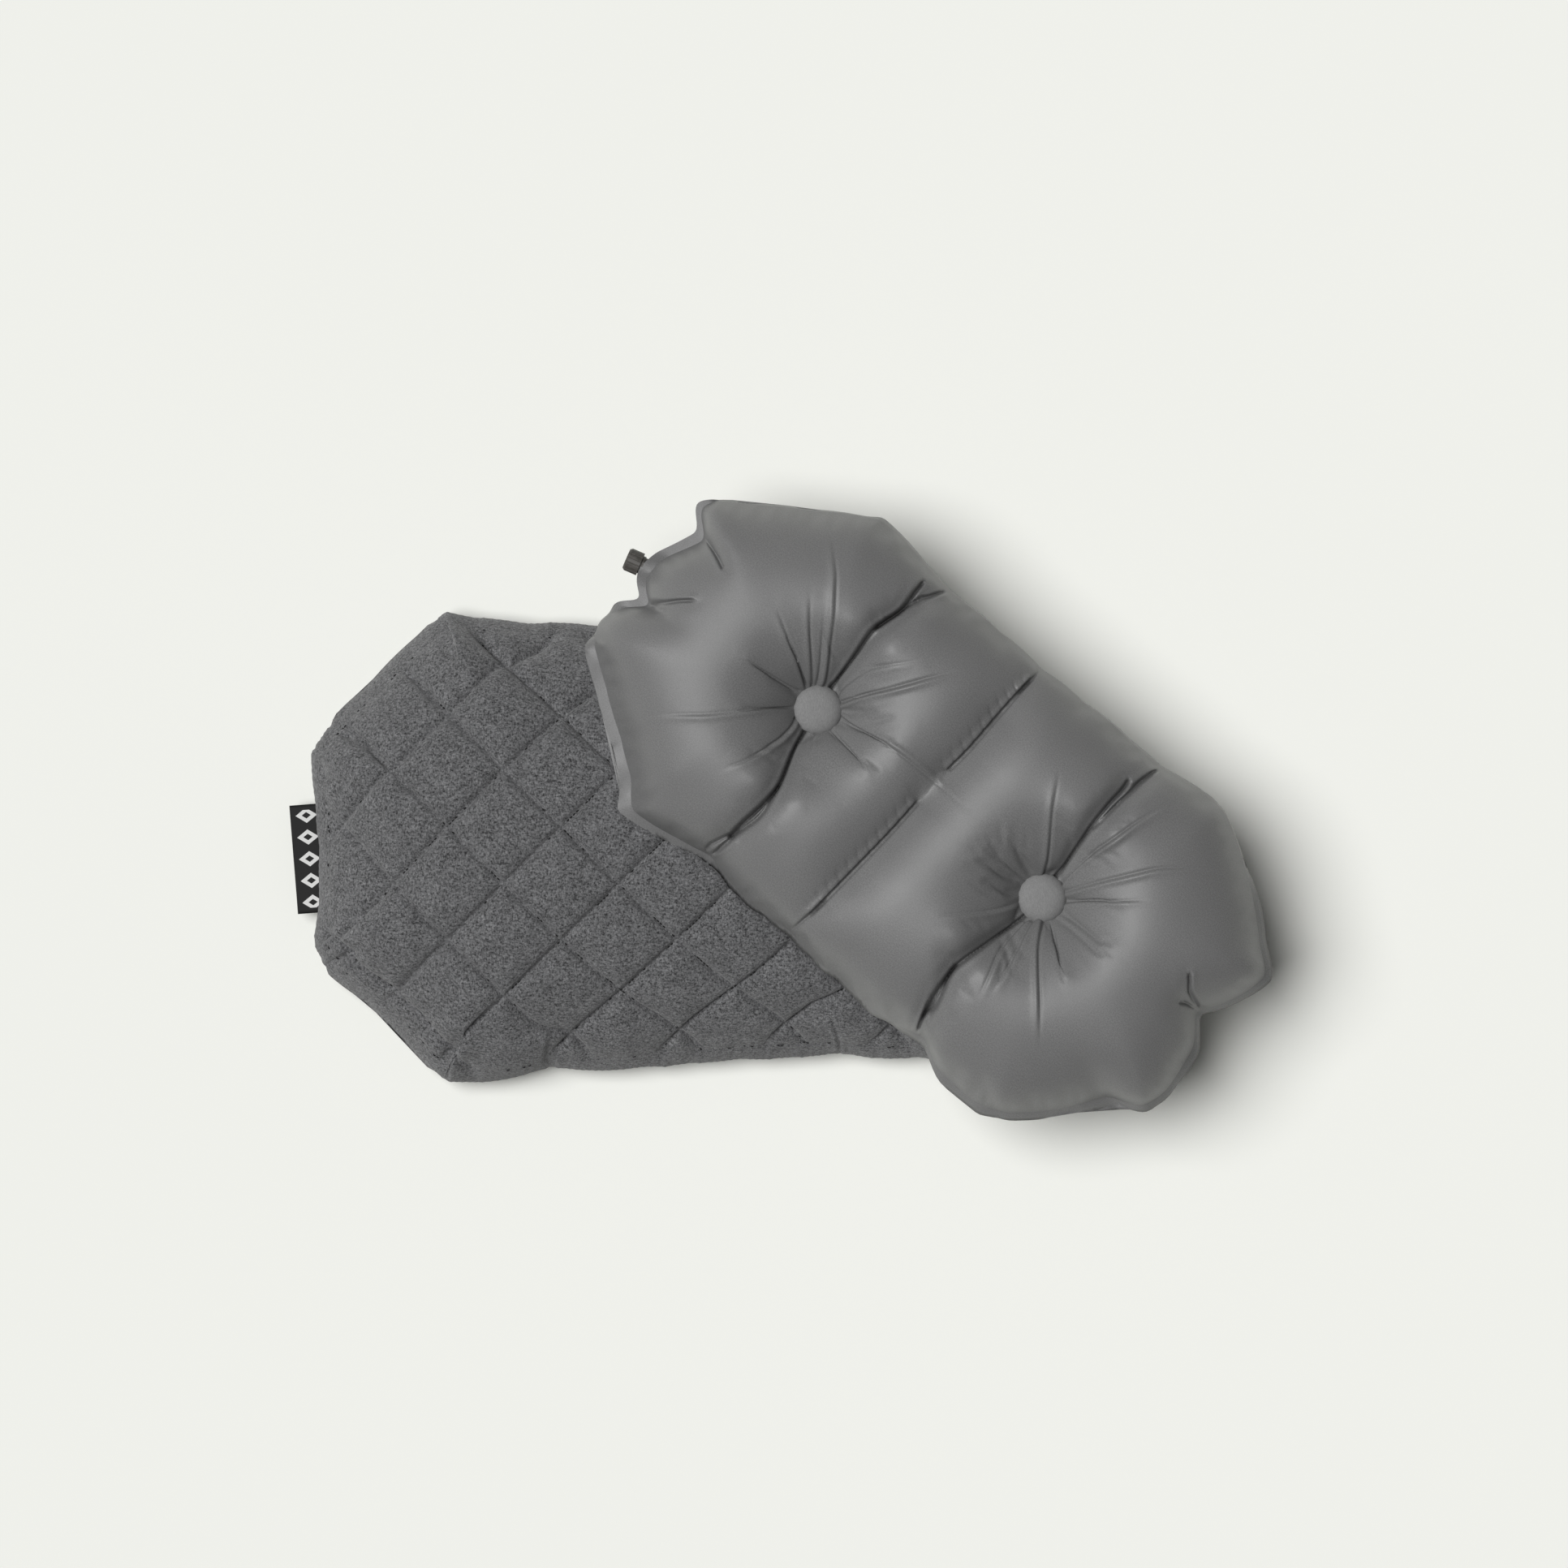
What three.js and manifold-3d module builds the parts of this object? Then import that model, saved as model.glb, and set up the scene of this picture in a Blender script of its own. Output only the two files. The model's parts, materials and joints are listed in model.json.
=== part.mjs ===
// Inflatable camp pillow with its quilted cover, laid out as a flat lay: the cover lies on the ground and
// the bare air bladder lies slantwise on top of it. Millimetres, +Z up. The origin is the centre of the
// whole object's footprint, on the ground.
import * as THREE from "three";
import { mergeVertices } from "three/addons/utils/BufferGeometryUtils.js";
import Module from "manifold-3d";

// ---------------------------------------------------------------- driving dimensions
const GAP = 0.3; // clearance kept between touching pieces

// Bladder, in its own frame: u along its length, v across, w up from the weld plane.
const BLADDER = {
  centre: new THREE.Vector3(105.9, 5.7, 104), // weld plane's centre in the layout
  turn: -40, // degrees about +Z
  halfLength: 279,
  halfWidth: 142, // at the waist
  cornerWidth: 149, // half width where the corner cuts begin
  cornerStart: 168, // u where the corner cuts begin
  endHalf: 70, // half width of the straight ends
  flange: 8, // width of the welded rim
  rimGauge: 1, // gauge of each panel at the rim
  skin: 1.6, // gauge of each panel
  crown: 62, // half thickness at the crown
  shoulder: 95, // distance from the rim over which the side rounds up to the crown
};
const TUFT = {
  u: 107, // buttons stand at -u and +u
  halfHeight: 21, // half thickness of the bladder under a button
  seat: 27, // radius of the flat under a button
  reach: 62, // distance over which the dimple rises back to the crown
  foldDepth: 13, // the cross fold that runs through each button, edge to edge
  foldReach: 18, // half width of that fold
};
const WEB = {
  depth: 20, // how far the centre webs hold the skins below the crown
  reach: 42, // half width of the valley that a web pulls
  fade: 20, // distance over which the valley ends, past a web's ends
  gauge: 0.8,
  margin: 2.5, // kept below the inside of the skins, whose facets cut inside their curve
  upper: [26, 122], // v range of the far web
  lower: [-124, -6], // v range of the near web
};
const STRAP = { width: 14, gauge: 1.2, play: 1.2 }; // ties a tuft's washers; play is slack at each end
const BUTTON = { radius: 18, height: 9, cloth: 0.9, post: 3, washer: 9, washerGauge: 1.5 };

// Twist valve, in its own frame: z along its axis, outward, from the rim of the bladder.
const VALVE = {
  lean: 16.6, // degrees off the bladder's length
  v: -1, // where it leaves the end of the bladder
  inset: 7, // depth of the notch that the rim has for the valve
  room: 0.8, // clearance of that notch round the grip
  neck: { radius: 6, bore: 4.2, inside: 22, outside: 8 },
  spider: { from: 2, to: 5, gauge: 1.4 }, // bar across the bore that carries the pin
  pin: { radius: 2.4, from: 3, to: 12 }, // closes the sleeve's mouth
  seal: { at: 6.4, across: 0.8, along: 1.2, groove: 0.8 }, // ring's section, and its groove's depth
  sleeve: { radius: 6.7, from: 1.2, to: 13, end: 1.6, mouth: 2.6 }, // end is its end wall's gauge
  grip: { radius: 8.6, from: 3.4, lip: 1.6, mouth: 4.4, chamfer: 1.2 },
  ribs: { count: 16, radius: 0.6, from: 0.4 }, // grooves cut along the grip
};

// Cover, in its own frame: x along its length, y across, z up from the ground.
const COVER = {
  centre: new THREE.Vector3(-47.1, -26.1, 0),
  halfLength: 298,
  halfWidth: 160, // at the waist
  cornerWidth: 173, // half width where the corner cuts begin
  cornerStart: 200, // x where the corner cuts begin
  endHalf: 76, // half width of the straight ends
  seam: 22, // height of the side seam
  crown: 70,
  shoulder: 62, // distance from the seam over which the top rounds up to the crown
  belly: 40, // distance over which the underside rolls up to the seam
  back: 3.2, // gauge of the plain underside
  seamDrop: 4, // from the quilt's edge down to the underside's edge
  dentGap: 2.5, // clearance under the bladder
  bridge: 20, // how far the quilt spans a fold of the bladder
};
// Layers of the quilted top. They are pressed to rimShare of their gauge at the seam, over rimReach.
const QUILT = { face: 1.6, wadding: 6, lining: 1.2, rimShare: 0.3, rimReach: 30 };
// Open end for the bladder: its lips part by lift and drop, over half to each side of the middle.
const MOUTH = { from: 228, half: 62, fade: 14, lift: 9, drop: 12 };
const HEM = { width: 3, inset: 2, steps: 8 }; // stands off each lip, inset from the mouth's corners
const LABEL = { reach: 20, length: 81, y: -9.5, cloth: 0.5, z: 19.6 };

// Stations of the grids, from the middle outward; shares are of the half width.
const BLADDER_STATIONS = [0, 20, 44, 70, 89, 107, 125, 146, 176, 208, 238, 260, 271, 279];
const BLADDER_SHARES = [0, 0.12, 0.25, 0.42, 0.62, 0.8, 0.93, 1];
const COVER_STATIONS = [0, 40, 80, 120, 160, 200, 230, 256, 278, 293, 298];
const COVER_SHARES = [0, 0.22, 0.44, 0.64, 0.8, 0.92, 1];
const ROUND = 20; // segments of small round pieces
const DOME_ARC = [0, 0.35, 0.7, 1].map((share) => (share * Math.PI) / 2);

// ---------------------------------------------------------------- small helpers
const wasm = await Module();
wasm.setup();

const degrees = THREE.MathUtils.degToRad;
const lerp = THREE.MathUtils.lerp;
const smooth = (x) => THREE.MathUtils.smoothstep(x, 0, 1);
const mirrored = (list) => [...list.map((x) => -x).reverse(), ...list.filter((x) => x !== 0)];
const evenly = (from, to, steps) => Array.from({ length: steps + 1 }, (_, i) => lerp(from, to, i / steps));

// A closed three.js geometry as a manifold solid, and back.
function toSolid(geometry) {
  const bare = geometry.clone().deleteAttribute("normal").deleteAttribute("uv");
  const merged = mergeVertices(bare, 1e-4);
  const vertProperties = new Float32Array(merged.attributes.position.array);
  const triVerts = new Uint32Array(merged.index.array);
  return new wasm.Manifold(new wasm.Mesh({ numProp: 3, vertProperties, triVerts }));
}

function toGeometry(solid) {
  const { vertProperties, triVerts } = solid.getMesh();
  const geometry = new THREE.BufferGeometry();
  geometry.setAttribute("position", new THREE.BufferAttribute(vertProperties, 3));
  geometry.setIndex(new THREE.BufferAttribute(triVerts, 1));
  geometry.computeVertexNormals();
  return geometry;
}

// Sheet over a grid of [x, y] points, between two height functions: a closed body.
function sheet(columns, rowsAt, upper, lower) {
  const grid = columns.map((x) => rowsAt(x).map((y) => [x, y]));
  const [n, m] = [grid.length, grid[0].length];
  const positions = [upper, lower].flatMap((height) => grid.flat().flatMap(([x, y]) => [x, y, height(x, y)]));
  const at = (side, i, j) => side * n * m + i * m + j;
  const faces = [];
  for (let i = 0; i + 1 < n; i++) {
    for (let j = 0; j + 1 < m; j++) {
      faces.push(at(0, i, j), at(0, i + 1, j), at(0, i + 1, j + 1));
      faces.push(at(0, i, j), at(0, i + 1, j + 1), at(0, i, j + 1));
      faces.push(at(1, i, j), at(1, i + 1, j + 1), at(1, i + 1, j));
      faces.push(at(1, i, j), at(1, i, j + 1), at(1, i + 1, j + 1));
    }
  }
  // The edge wall joins the two sides all round the border.
  const border = [];
  for (let i = 0; i < n - 1; i++) border.push([i, 0]);
  for (let j = 0; j < m - 1; j++) border.push([n - 1, j]);
  for (let i = n - 1; i > 0; i--) border.push([i, m - 1]);
  for (let j = m - 1; j > 0; j--) border.push([0, j]);
  border.forEach(([i, j], k) => {
    const [ni, nj] = border[(k + 1) % border.length];
    faces.push(at(0, i, j), at(1, i, j), at(1, ni, nj));
    faces.push(at(0, i, j), at(1, ni, nj), at(0, ni, nj));
  });
  const geometry = new THREE.BufferGeometry();
  geometry.setAttribute("position", new THREE.Float32BufferAttribute(positions, 3));
  geometry.setIndex(faces);
  geometry.computeVertexNormals();
  return geometry;
}

// Lathe about +Z from a profile of [radius, height] points, listed anticlockwise.
function lathe(profile, segments = ROUND) {
  const points = profile.map(([r, z]) => new THREE.Vector2(r, z));
  return new THREE.LatheGeometry(points, segments).rotateX(Math.PI / 2);
}

// Tube about +Z between two radii and two heights.
function tube(inner, outer, from, to, segments = ROUND) {
  return lathe([[inner, from], [outer, from], [outer, to], [inner, to], [inner, from]], segments);
}

// Solid rod about +Z, between two heights.
function rod(radius, from, to, segments = ROUND) {
  const cylinder = new THREE.CylinderGeometry(radius, radius, to - from, segments);
  return cylinder.rotateX(Math.PI / 2).translate(0, 0, (from + to) / 2);
}

const materials = {
  bladder: new THREE.MeshStandardMaterial({ color: 0x747474, roughness: 0.5 }),
  web: new THREE.MeshStandardMaterial({ color: 0x6a6a6a, roughness: 0.7 }),
  button: new THREE.MeshStandardMaterial({ color: 0x7d7d7d, roughness: 0.75 }),
  mould: new THREE.MeshStandardMaterial({ color: 0x303030, roughness: 0.5 }),
  valve: new THREE.MeshStandardMaterial({ color: 0x55524e, roughness: 0.55 }),
  seal: new THREE.MeshStandardMaterial({ color: 0x101010, roughness: 0.4 }),
  quilt: new THREE.MeshStandardMaterial({ color: 0x5a5b5d, roughness: 0.95 }),
  wadding: new THREE.MeshStandardMaterial({ color: 0xe8e8e4, roughness: 1 }),
  lining: new THREE.MeshStandardMaterial({ color: 0x4a4b4d, roughness: 0.9 }),
  label: new THREE.MeshStandardMaterial({ color: 0x0c0c0c, roughness: 0.8 }),
};

function mesh(name, geometry, material) {
  const made = new THREE.Mesh(geometry, material);
  made.name = name;
  return made;
}

// Half width of a long octagon with waisted sides, at distance x along it.
function halfWidth(shape, x) {
  const along = Math.abs(x);
  if (along <= shape.cornerStart) {
    return lerp(shape.halfWidth, shape.cornerWidth, (along / shape.cornerStart) ** 2);
  }
  const share = (along - shape.cornerStart) / (shape.halfLength - shape.cornerStart);
  return lerp(shape.cornerWidth, shape.endHalf, share);
}

// Distance from a point inward of the outline, after a border of the given width.
function inset(shape, x, y, border = 0) {
  const slope = (shape.cornerWidth - shape.endHalf) / (shape.halfLength - shape.cornerStart);
  const tilt = Math.abs(x) > shape.cornerStart ? 1 / Math.hypot(1, slope) : 1;
  const side = (halfWidth(shape, x) - border - Math.abs(y)) * tilt;
  return Math.max(0, Math.min(side, shape.halfLength - border - Math.abs(x)));
}

// Quarter round: 0 at the rim and 1 from the given distance inward.
const rounded = (distance, reach) => Math.sqrt(1 - (1 - Math.min(distance / reach, 1)) ** 2);

// ---------------------------------------------------------------- bladder
// How strongly the centre webs pull the skins in at (u, v), from 0 to 1.
function webPull(u, v) {
  const [start, end] = v > 0 ? WEB.upper : [-WEB.lower[1], -WEB.lower[0]];
  const along = Math.abs(v);
  const held = along <= end + WEB.fade ? smooth((along - start + WEB.fade) / WEB.fade) : 0;
  return held * Math.max(0, 1 - Math.abs(u) / WEB.reach) ** 2;
}

// Half thickness of the inflated bladder at (u, v).
function bladderHeight(u, v) {
  const rim = BLADDER.rimGauge + GAP / 2;
  const distance = inset(BLADDER, u, v, BLADDER.flange);
  if (distance <= 0) return rim;
  const puff = rounded(distance, BLADDER.shoulder);
  const fold = Math.max(0, 1 - Math.abs(Math.abs(u) - TUFT.u) / TUFT.foldReach) ** 2;
  const pulled = TUFT.foldDepth * fold + WEB.depth * webPull(u, v);
  const ridge = rim + puff * (BLADDER.crown - BLADDER.rimGauge - pulled);
  const radius = Math.hypot(Math.abs(u) - TUFT.u, v);
  const rise = smooth((radius - TUFT.seat) / TUFT.reach);
  return lerp(Math.min(TUFT.halfHeight, ridge), ridge, rise);
}

// The skin's inner face lies a gauge inside the outer one, and on the weld plane at the flange.
function bladderInside(u, v) {
  const onFlange = inset(BLADDER, u, v, BLADDER.flange) <= 1e-6;
  return onFlange ? GAP / 2 : Math.max(GAP / 2, bladderHeight(u, v) - BLADDER.skin);
}

function bladderRows(u) {
  const edge = halfWidth(BLADDER, u);
  const inner = edge - BLADDER.flange;
  return mirrored([...BLADDER_SHARES.map((share) => share * inner), edge]);
}

// Frame of the valve: its axis runs out of the end of the bladder, along the neck.
const valveFrame = new THREE.Matrix4()
  .makeTranslation(VALVE.inset - BLADDER.halfLength, VALVE.v, 0)
  .multiply(new THREE.Matrix4().makeRotationZ(degrees(VALVE.lean)))
  .multiply(new THREE.Matrix4().makeRotationY(-Math.PI / 2));

// One skin, with holes for the button posts, a bore for the valve's neck and a notch for its grip.
function bladderPanel() {
  const reach = 40; // cutters stand this far past the skin
  let panel = toSolid(sheet(mirrored(BLADDER_STATIONS), bladderRows, bladderHeight, bladderInside));
  for (const u of [-TUFT.u, TUFT.u]) {
    panel = panel.subtract(toSolid(rod(BUTTON.post + GAP, 0, reach).translate(u, 0, 0)));
  }
  const bore = rod(VALVE.neck.radius + GAP, -reach, reach).applyMatrix4(valveFrame);
  const notch = rod(VALVE.grip.radius + VALVE.room, 0, reach).applyMatrix4(valveFrame);
  return toGeometry(panel.subtract(toSolid(bore)).subtract(toSolid(notch)));
}

// A vertical web between the skins on the centre line, from v = start to v = end.
function centreWeb([start, end]) {
  const stations = evenly(start, end, 10);
  const heights = stations.map((v) => bladderHeight(0, v) - BLADDER.skin - WEB.margin);
  const upper = stations.map((v, i) => new THREE.Vector2(v, heights[i]));
  const lower = stations.map((v, i) => new THREE.Vector2(v, -heights[i]));
  const outline = new THREE.Shape([...upper, ...lower.reverse()]);
  const web = new THREE.ExtrudeGeometry(outline, { depth: WEB.gauge, bevelEnabled: false });
  return web.translate(0, 0, -WEB.gauge / 2).rotateX(Math.PI / 2).rotateZ(Math.PI / 2);
}

// Half of a dome's section, from its rim up to its crown.
function dome(radius, height) {
  const points = DOME_ARC.map((a) => [radius * Math.sin(a), height * Math.cos(a)]);
  return points.reverse();
}

// Cloth-covered cap of a button: a dome of cloth, open underneath.
function buttonCloth() {
  const { radius, height, cloth } = BUTTON;
  const outside = dome(radius, height);
  const inside = dome(radius - cloth, height - cloth).reverse();
  return lathe([...outside, ...inside, outside[0]]);
}

// Moulded core under the cloth, with the post that goes through the skin to the washer.
function buttonCore() {
  const { radius, height, cloth, post, washerGauge } = BUTTON;
  const reach = BLADDER.skin + washerGauge + 2 * GAP;
  const cap = dome(radius - cloth - GAP, height - cloth - GAP);
  return lathe([[0, -reach], [post, -reach], [post, 0], ...cap]);
}

// The strap that ties the two washers of a tuft through the air space.
function tuftStrap() {
  const toWasher = TUFT.halfHeight - BLADDER.skin - BUTTON.washerGauge - 2 * GAP;
  return new THREE.BoxGeometry(STRAP.width, STRAP.gauge, 2 * (toWasher - STRAP.play));
}

// One button with its washer inside the skin, standing on +Z from the weld plane.
function buttonStack(face, side) {
  const { post, washer, washerGauge } = BUTTON;
  const seat = TUFT.halfHeight + GAP;
  const plateBase = TUFT.halfHeight - BLADDER.skin - GAP - washerGauge;
  const cloth = mesh(`button_cloth_${face}_${side}`, buttonCloth(), materials.button);
  const core = mesh(`button_core_${face}_${side}`, buttonCore(), materials.mould);
  const plate = tube(post + GAP, washer, plateBase, plateBase + washerGauge);
  cloth.position.z = seat;
  core.position.z = seat;
  const stack = new THREE.Group();
  stack.add(cloth, core, mesh(`button_washer_${face}_${side}`, plate, materials.mould));
  return stack;
}

function tuft(side, u) {
  const lower = buttonStack("lower", side);
  lower.rotation.x = Math.PI;
  const group = new THREE.Group();
  group.add(buttonStack("upper", side), lower, mesh(`tuft_strap_${side}`, tuftStrap(), materials.web));
  group.position.x = u;
  return group;
}

// Neck welded into the rim, with a groove for the seal and a pin on a bar across its bore.
function valveNeck() {
  const { neck, spider, pin, seal } = VALVE;
  const bar = new THREE.BoxGeometry(2 * neck.bore + 1, spider.gauge, spider.to - spider.from);
  bar.translate(0, 0, (spider.from + spider.to) / 2);
  const half = seal.groove;
  const groove = tube(neck.radius - seal.groove, neck.radius + 1, seal.at - half, seal.at + half);
  const body = toSolid(tube(neck.bore, neck.radius, -neck.inside, neck.outside));
  const post = toSolid(rod(pin.radius, pin.from, pin.to));
  return toGeometry(body.add(toSolid(bar)).add(post).subtract(toSolid(groove)));
}

function sealRing() {
  const { neck, seal } = VALVE;
  const centre = neck.radius + GAP / 6 - seal.across / 2;
  const section = evenly(0, 2 * Math.PI, 6).map((a) => [
    centre + (seal.across / 2) * Math.cos(a),
    seal.at + (seal.along / 2) * Math.sin(a),
  ]);
  return lathe(section);
}

// Sliding sleeve, whose mouth the neck's pin closes when it is pushed in.
function mouthSleeve() {
  const { neck, sleeve } = VALVE;
  const bore = neck.radius + GAP / 2;
  const wall = sleeve.to - sleeve.end;
  return lathe([
    [bore, sleeve.from],
    [sleeve.radius, sleeve.from],
    [sleeve.radius, sleeve.to],
    [sleeve.mouth, sleeve.to],
    [sleeve.mouth, wall],
    [bore, wall],
    [bore, sleeve.from],
  ]);
}

// Ribbed grip round the sleeve. Its ring-shaped end is what the lips or a pump's nozzle meet.
function twistGrip() {
  const { sleeve, grip, ribs } = VALVE;
  const bore = sleeve.radius + GAP / 2;
  const top = sleeve.to + grip.lip;
  const profile = [
    [bore, grip.from],
    [grip.radius, grip.from],
    [grip.radius, sleeve.to],
    [grip.radius - grip.chamfer, top],
    [grip.mouth, top],
    [grip.mouth, sleeve.to + GAP],
    [bore, sleeve.to + GAP],
    [bore, grip.from],
  ];
  let body = toSolid(lathe(profile, 2 * ribs.count));
  for (let i = 0; i < ribs.count; i++) {
    const angle = ((i + 0.5) / ribs.count) * 2 * Math.PI;
    const groove = rod(ribs.radius, 0, top - ribs.from, 5);
    groove.translate(grip.radius * Math.cos(angle), grip.radius * Math.sin(angle), ribs.from);
    body = body.subtract(toSolid(groove));
  }
  return toGeometry(body);
}

function valve() {
  const group = new THREE.Group();
  group.add(
    mesh("valve_neck", valveNeck(), materials.valve),
    mesh("valve_seal_ring", sealRing(), materials.seal),
    mesh("valve_mouth_sleeve", mouthSleeve(), materials.valve),
    mesh("valve_twist_grip", twistGrip(), materials.valve),
  );
  valveFrame.decompose(group.position, group.quaternion, group.scale);
  return group;
}

function bladder() {
  const underside = mesh("bladder_bottom_panel", bladderPanel(), materials.bladder);
  underside.scale.z = -1;
  const group = new THREE.Group();
  group.add(
    mesh("bladder_top_panel", bladderPanel(), materials.bladder),
    underside,
    mesh("centre_web_far", centreWeb(WEB.upper), materials.web),
    mesh("centre_web_near", centreWeb(WEB.lower), materials.web),
    tuft("left", -TUFT.u),
    tuft("right", TUFT.u),
    valve(),
  );
  group.position.copy(BLADDER.centre);
  group.rotation.z = degrees(BLADDER.turn);
  return group;
}

// ---------------------------------------------------------------- cover
// Height above the ground of the lowest part of the bladder near a place in the cover's frame. The quilt
// bridges the bladder's small folds, so the places around are looked at too.
function bladderUnderside(x, y) {
  const place = new THREE.Vector3(x, y, 0).add(COVER.centre).sub(BLADDER.centre);
  place.applyAxisAngle(new THREE.Vector3(0, 0, 1), -degrees(BLADDER.turn));
  const ring = evenly(0, 2 * Math.PI, 8).map((a) => [Math.cos(a), Math.sin(a)]);
  let thickest = -Infinity;
  for (const [cos, sin] of [[0, 0], ...ring]) {
    const [u, v] = [place.x + COVER.bridge * cos, place.y + COVER.bridge * sin];
    if (inset(BLADDER, u, v) > 0) thickest = Math.max(thickest, bladderHeight(u, v));
  }
  return BLADDER.centre.z - thickest;
}

// How far the mouth is open at (x, y), from 0 to 1.
function mouthShare(x, y) {
  const along = smooth((x - MOUTH.from) / (COVER.halfLength - MOUTH.from));
  return along * smooth((MOUTH.half + MOUTH.fade - Math.abs(y)) / MOUTH.fade);
}

function coverTop(x, y) {
  const puff = rounded(inset(COVER, x, y), COVER.shoulder);
  const parted = MOUTH.lift * mouthShare(x, y) * (1 - puff);
  const height = lerp(COVER.seam, COVER.crown, puff) + parted;
  return Math.min(height, bladderUnderside(x, y) - COVER.dentGap);
}

function coverBottom(x, y) {
  const roll = Math.max(0, 1 - inset(COVER, x, y) / COVER.belly) ** 2;
  const rise = COVER.seam - COVER.back - COVER.seamDrop;
  return Math.max(0, rise * roll - MOUTH.drop * mouthShare(x, y) * roll);
}

const coverBack = (x, y) => coverBottom(x, y) + COVER.back;

// Share of the quilt's full gauge at (x, y): it is pressed thin at the side seam.
function quiltShare(x, y) {
  return lerp(QUILT.rimShare, 1, Math.min(1, inset(COVER, x, y) / QUILT.rimReach));
}

const coverRows = (x) => mirrored(COVER_SHARES.map((share) => share * halfWidth(COVER, x)));

// One layer of the quilted top, between two depths below the outer face.
function quiltLayer(from, to) {
  const surface = (depth) => (x, y) => coverTop(x, y) - depth * quiltShare(x, y);
  return sheet(mirrored(COVER_STATIONS), coverRows, surface(from), surface(to));
}

// A folded woven label, its fold pointing away from the cover.
function sideLabel() {
  const { reach, length, cloth } = LABEL;
  const thickness = 2 * cloth + GAP;
  const outline = new THREE.Shape();
  outline.moveTo(0, 0);
  outline.absarc(-reach + thickness / 2, thickness / 2, thickness / 2, -Math.PI / 2, Math.PI / 2, true);
  outline.lineTo(0, thickness);
  outline.lineTo(0, cloth + GAP);
  outline.lineTo(-reach + thickness, cloth + GAP);
  outline.lineTo(-reach + thickness, cloth);
  outline.lineTo(0, cloth);
  outline.closePath();
  const label = new THREE.ExtrudeGeometry(outline, { depth: length, bevelEnabled: false, curveSegments: 6 });
  return label.translate(0, 0, -length / 2).rotateX(Math.PI / 2);
}

// A straight hem along one lip of the mouth, face to face with the panel's edge.
function mouthHem(heightAt, gauge) {
  const half = MOUTH.half - HEM.inset;
  const start = COVER.halfLength + GAP;
  const top = (x, y) => heightAt(COVER.halfLength, y);
  const bottom = (x, y) => top(x, y) - gauge;
  return sheet([start, start + HEM.width], () => evenly(-half, half, HEM.steps), top, bottom);
}

function cover() {
  const { face, wadding, lining, rimShare } = QUILT;
  const full = face + wadding + lining + 2 * GAP;
  const back = sheet(mirrored(COVER_STATIONS), coverRows, coverBack, coverBottom);
  const label = mesh("side_label", sideLabel(), materials.label);
  label.position.set(-COVER.halfLength - GAP, LABEL.y, LABEL.z);
  const group = new THREE.Group();
  group.add(
    mesh("cover_top_face", quiltLayer(0, face), materials.quilt),
    mesh("cover_top_wadding", quiltLayer(face + GAP, face + GAP + wadding), materials.wadding),
    mesh("cover_top_lining", quiltLayer(full - lining, full), materials.lining),
    mesh("cover_back_panel", back, materials.lining),
    mesh("mouth_hem_upper", mouthHem(coverTop, full * rimShare), materials.quilt),
    mesh("mouth_hem_lower", mouthHem(coverBack, COVER.back), materials.lining),
    label,
  );
  group.position.copy(COVER.centre);
  return group;
}

// ---------------------------------------------------------------- assembly
const pillow = new THREE.Group();
pillow.add(cover(), bladder());

const box = new THREE.Box3().setFromObject(pillow, true);
const middle = box.getCenter(new THREE.Vector3());
pillow.position.set(-middle.x, -middle.y, -box.min.z);

export default pillow;
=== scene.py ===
"""Looks of the inflatable camp pillow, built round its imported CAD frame, in metres.

The bladder and the cover are each cut as flat cloth panels, joined at their rims and inflated by cloth
simulation. Creases, quilting, stitches and trim are then worked into the simulated meshes.
"""
import json
import math

import bmesh
import bpy
import numpy as np
from mathutils import Matrix, Vector
from mathutils.bvhtree import BVHTree
from mathutils.geometry import delaunay_2d_cdt
from mathutils.interpolate import poly_3d_calc


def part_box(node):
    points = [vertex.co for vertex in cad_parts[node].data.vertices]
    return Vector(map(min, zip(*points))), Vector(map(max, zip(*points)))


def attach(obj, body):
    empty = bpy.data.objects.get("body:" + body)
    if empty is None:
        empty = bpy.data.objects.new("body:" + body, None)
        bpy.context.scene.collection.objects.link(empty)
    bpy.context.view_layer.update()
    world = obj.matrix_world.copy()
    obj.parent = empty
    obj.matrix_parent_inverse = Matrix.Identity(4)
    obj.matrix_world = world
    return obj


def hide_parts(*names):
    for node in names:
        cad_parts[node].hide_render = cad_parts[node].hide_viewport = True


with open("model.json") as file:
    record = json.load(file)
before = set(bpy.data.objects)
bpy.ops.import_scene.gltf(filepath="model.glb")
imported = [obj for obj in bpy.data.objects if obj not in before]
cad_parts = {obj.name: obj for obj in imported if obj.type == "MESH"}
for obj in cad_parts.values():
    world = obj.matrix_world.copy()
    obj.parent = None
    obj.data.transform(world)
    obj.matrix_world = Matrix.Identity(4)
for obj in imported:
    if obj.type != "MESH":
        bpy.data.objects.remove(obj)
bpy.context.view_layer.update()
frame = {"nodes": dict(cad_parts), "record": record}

MM = 0.001


def metres(path):
    """A path given in millimetres, in metres."""
    return np.array(path) / 1000


# ---------------------------------------------------------------- places, from the frame


def middle(node):
    low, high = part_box(node)
    return (low + high) / 2


def panel_frame():
    """The bladder's own frame: u along its buttons, v across, w up from its weld plane."""
    left, right = middle("button_cloth_upper_left"), middle("button_cloth_upper_right")
    along = (right - left).normalized()
    origin = (left + right) / 2
    origin.z = (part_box("bladder_top_panel")[0].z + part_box("bladder_bottom_panel")[1].z) / 2
    across = Vector((0, 0, 1)).cross(along)
    turned = Matrix((along, across, Vector((0, 0, 1)))).transposed().to_4x4()
    return Matrix.Translation(origin) @ turned, (right - left).length / 2


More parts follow.
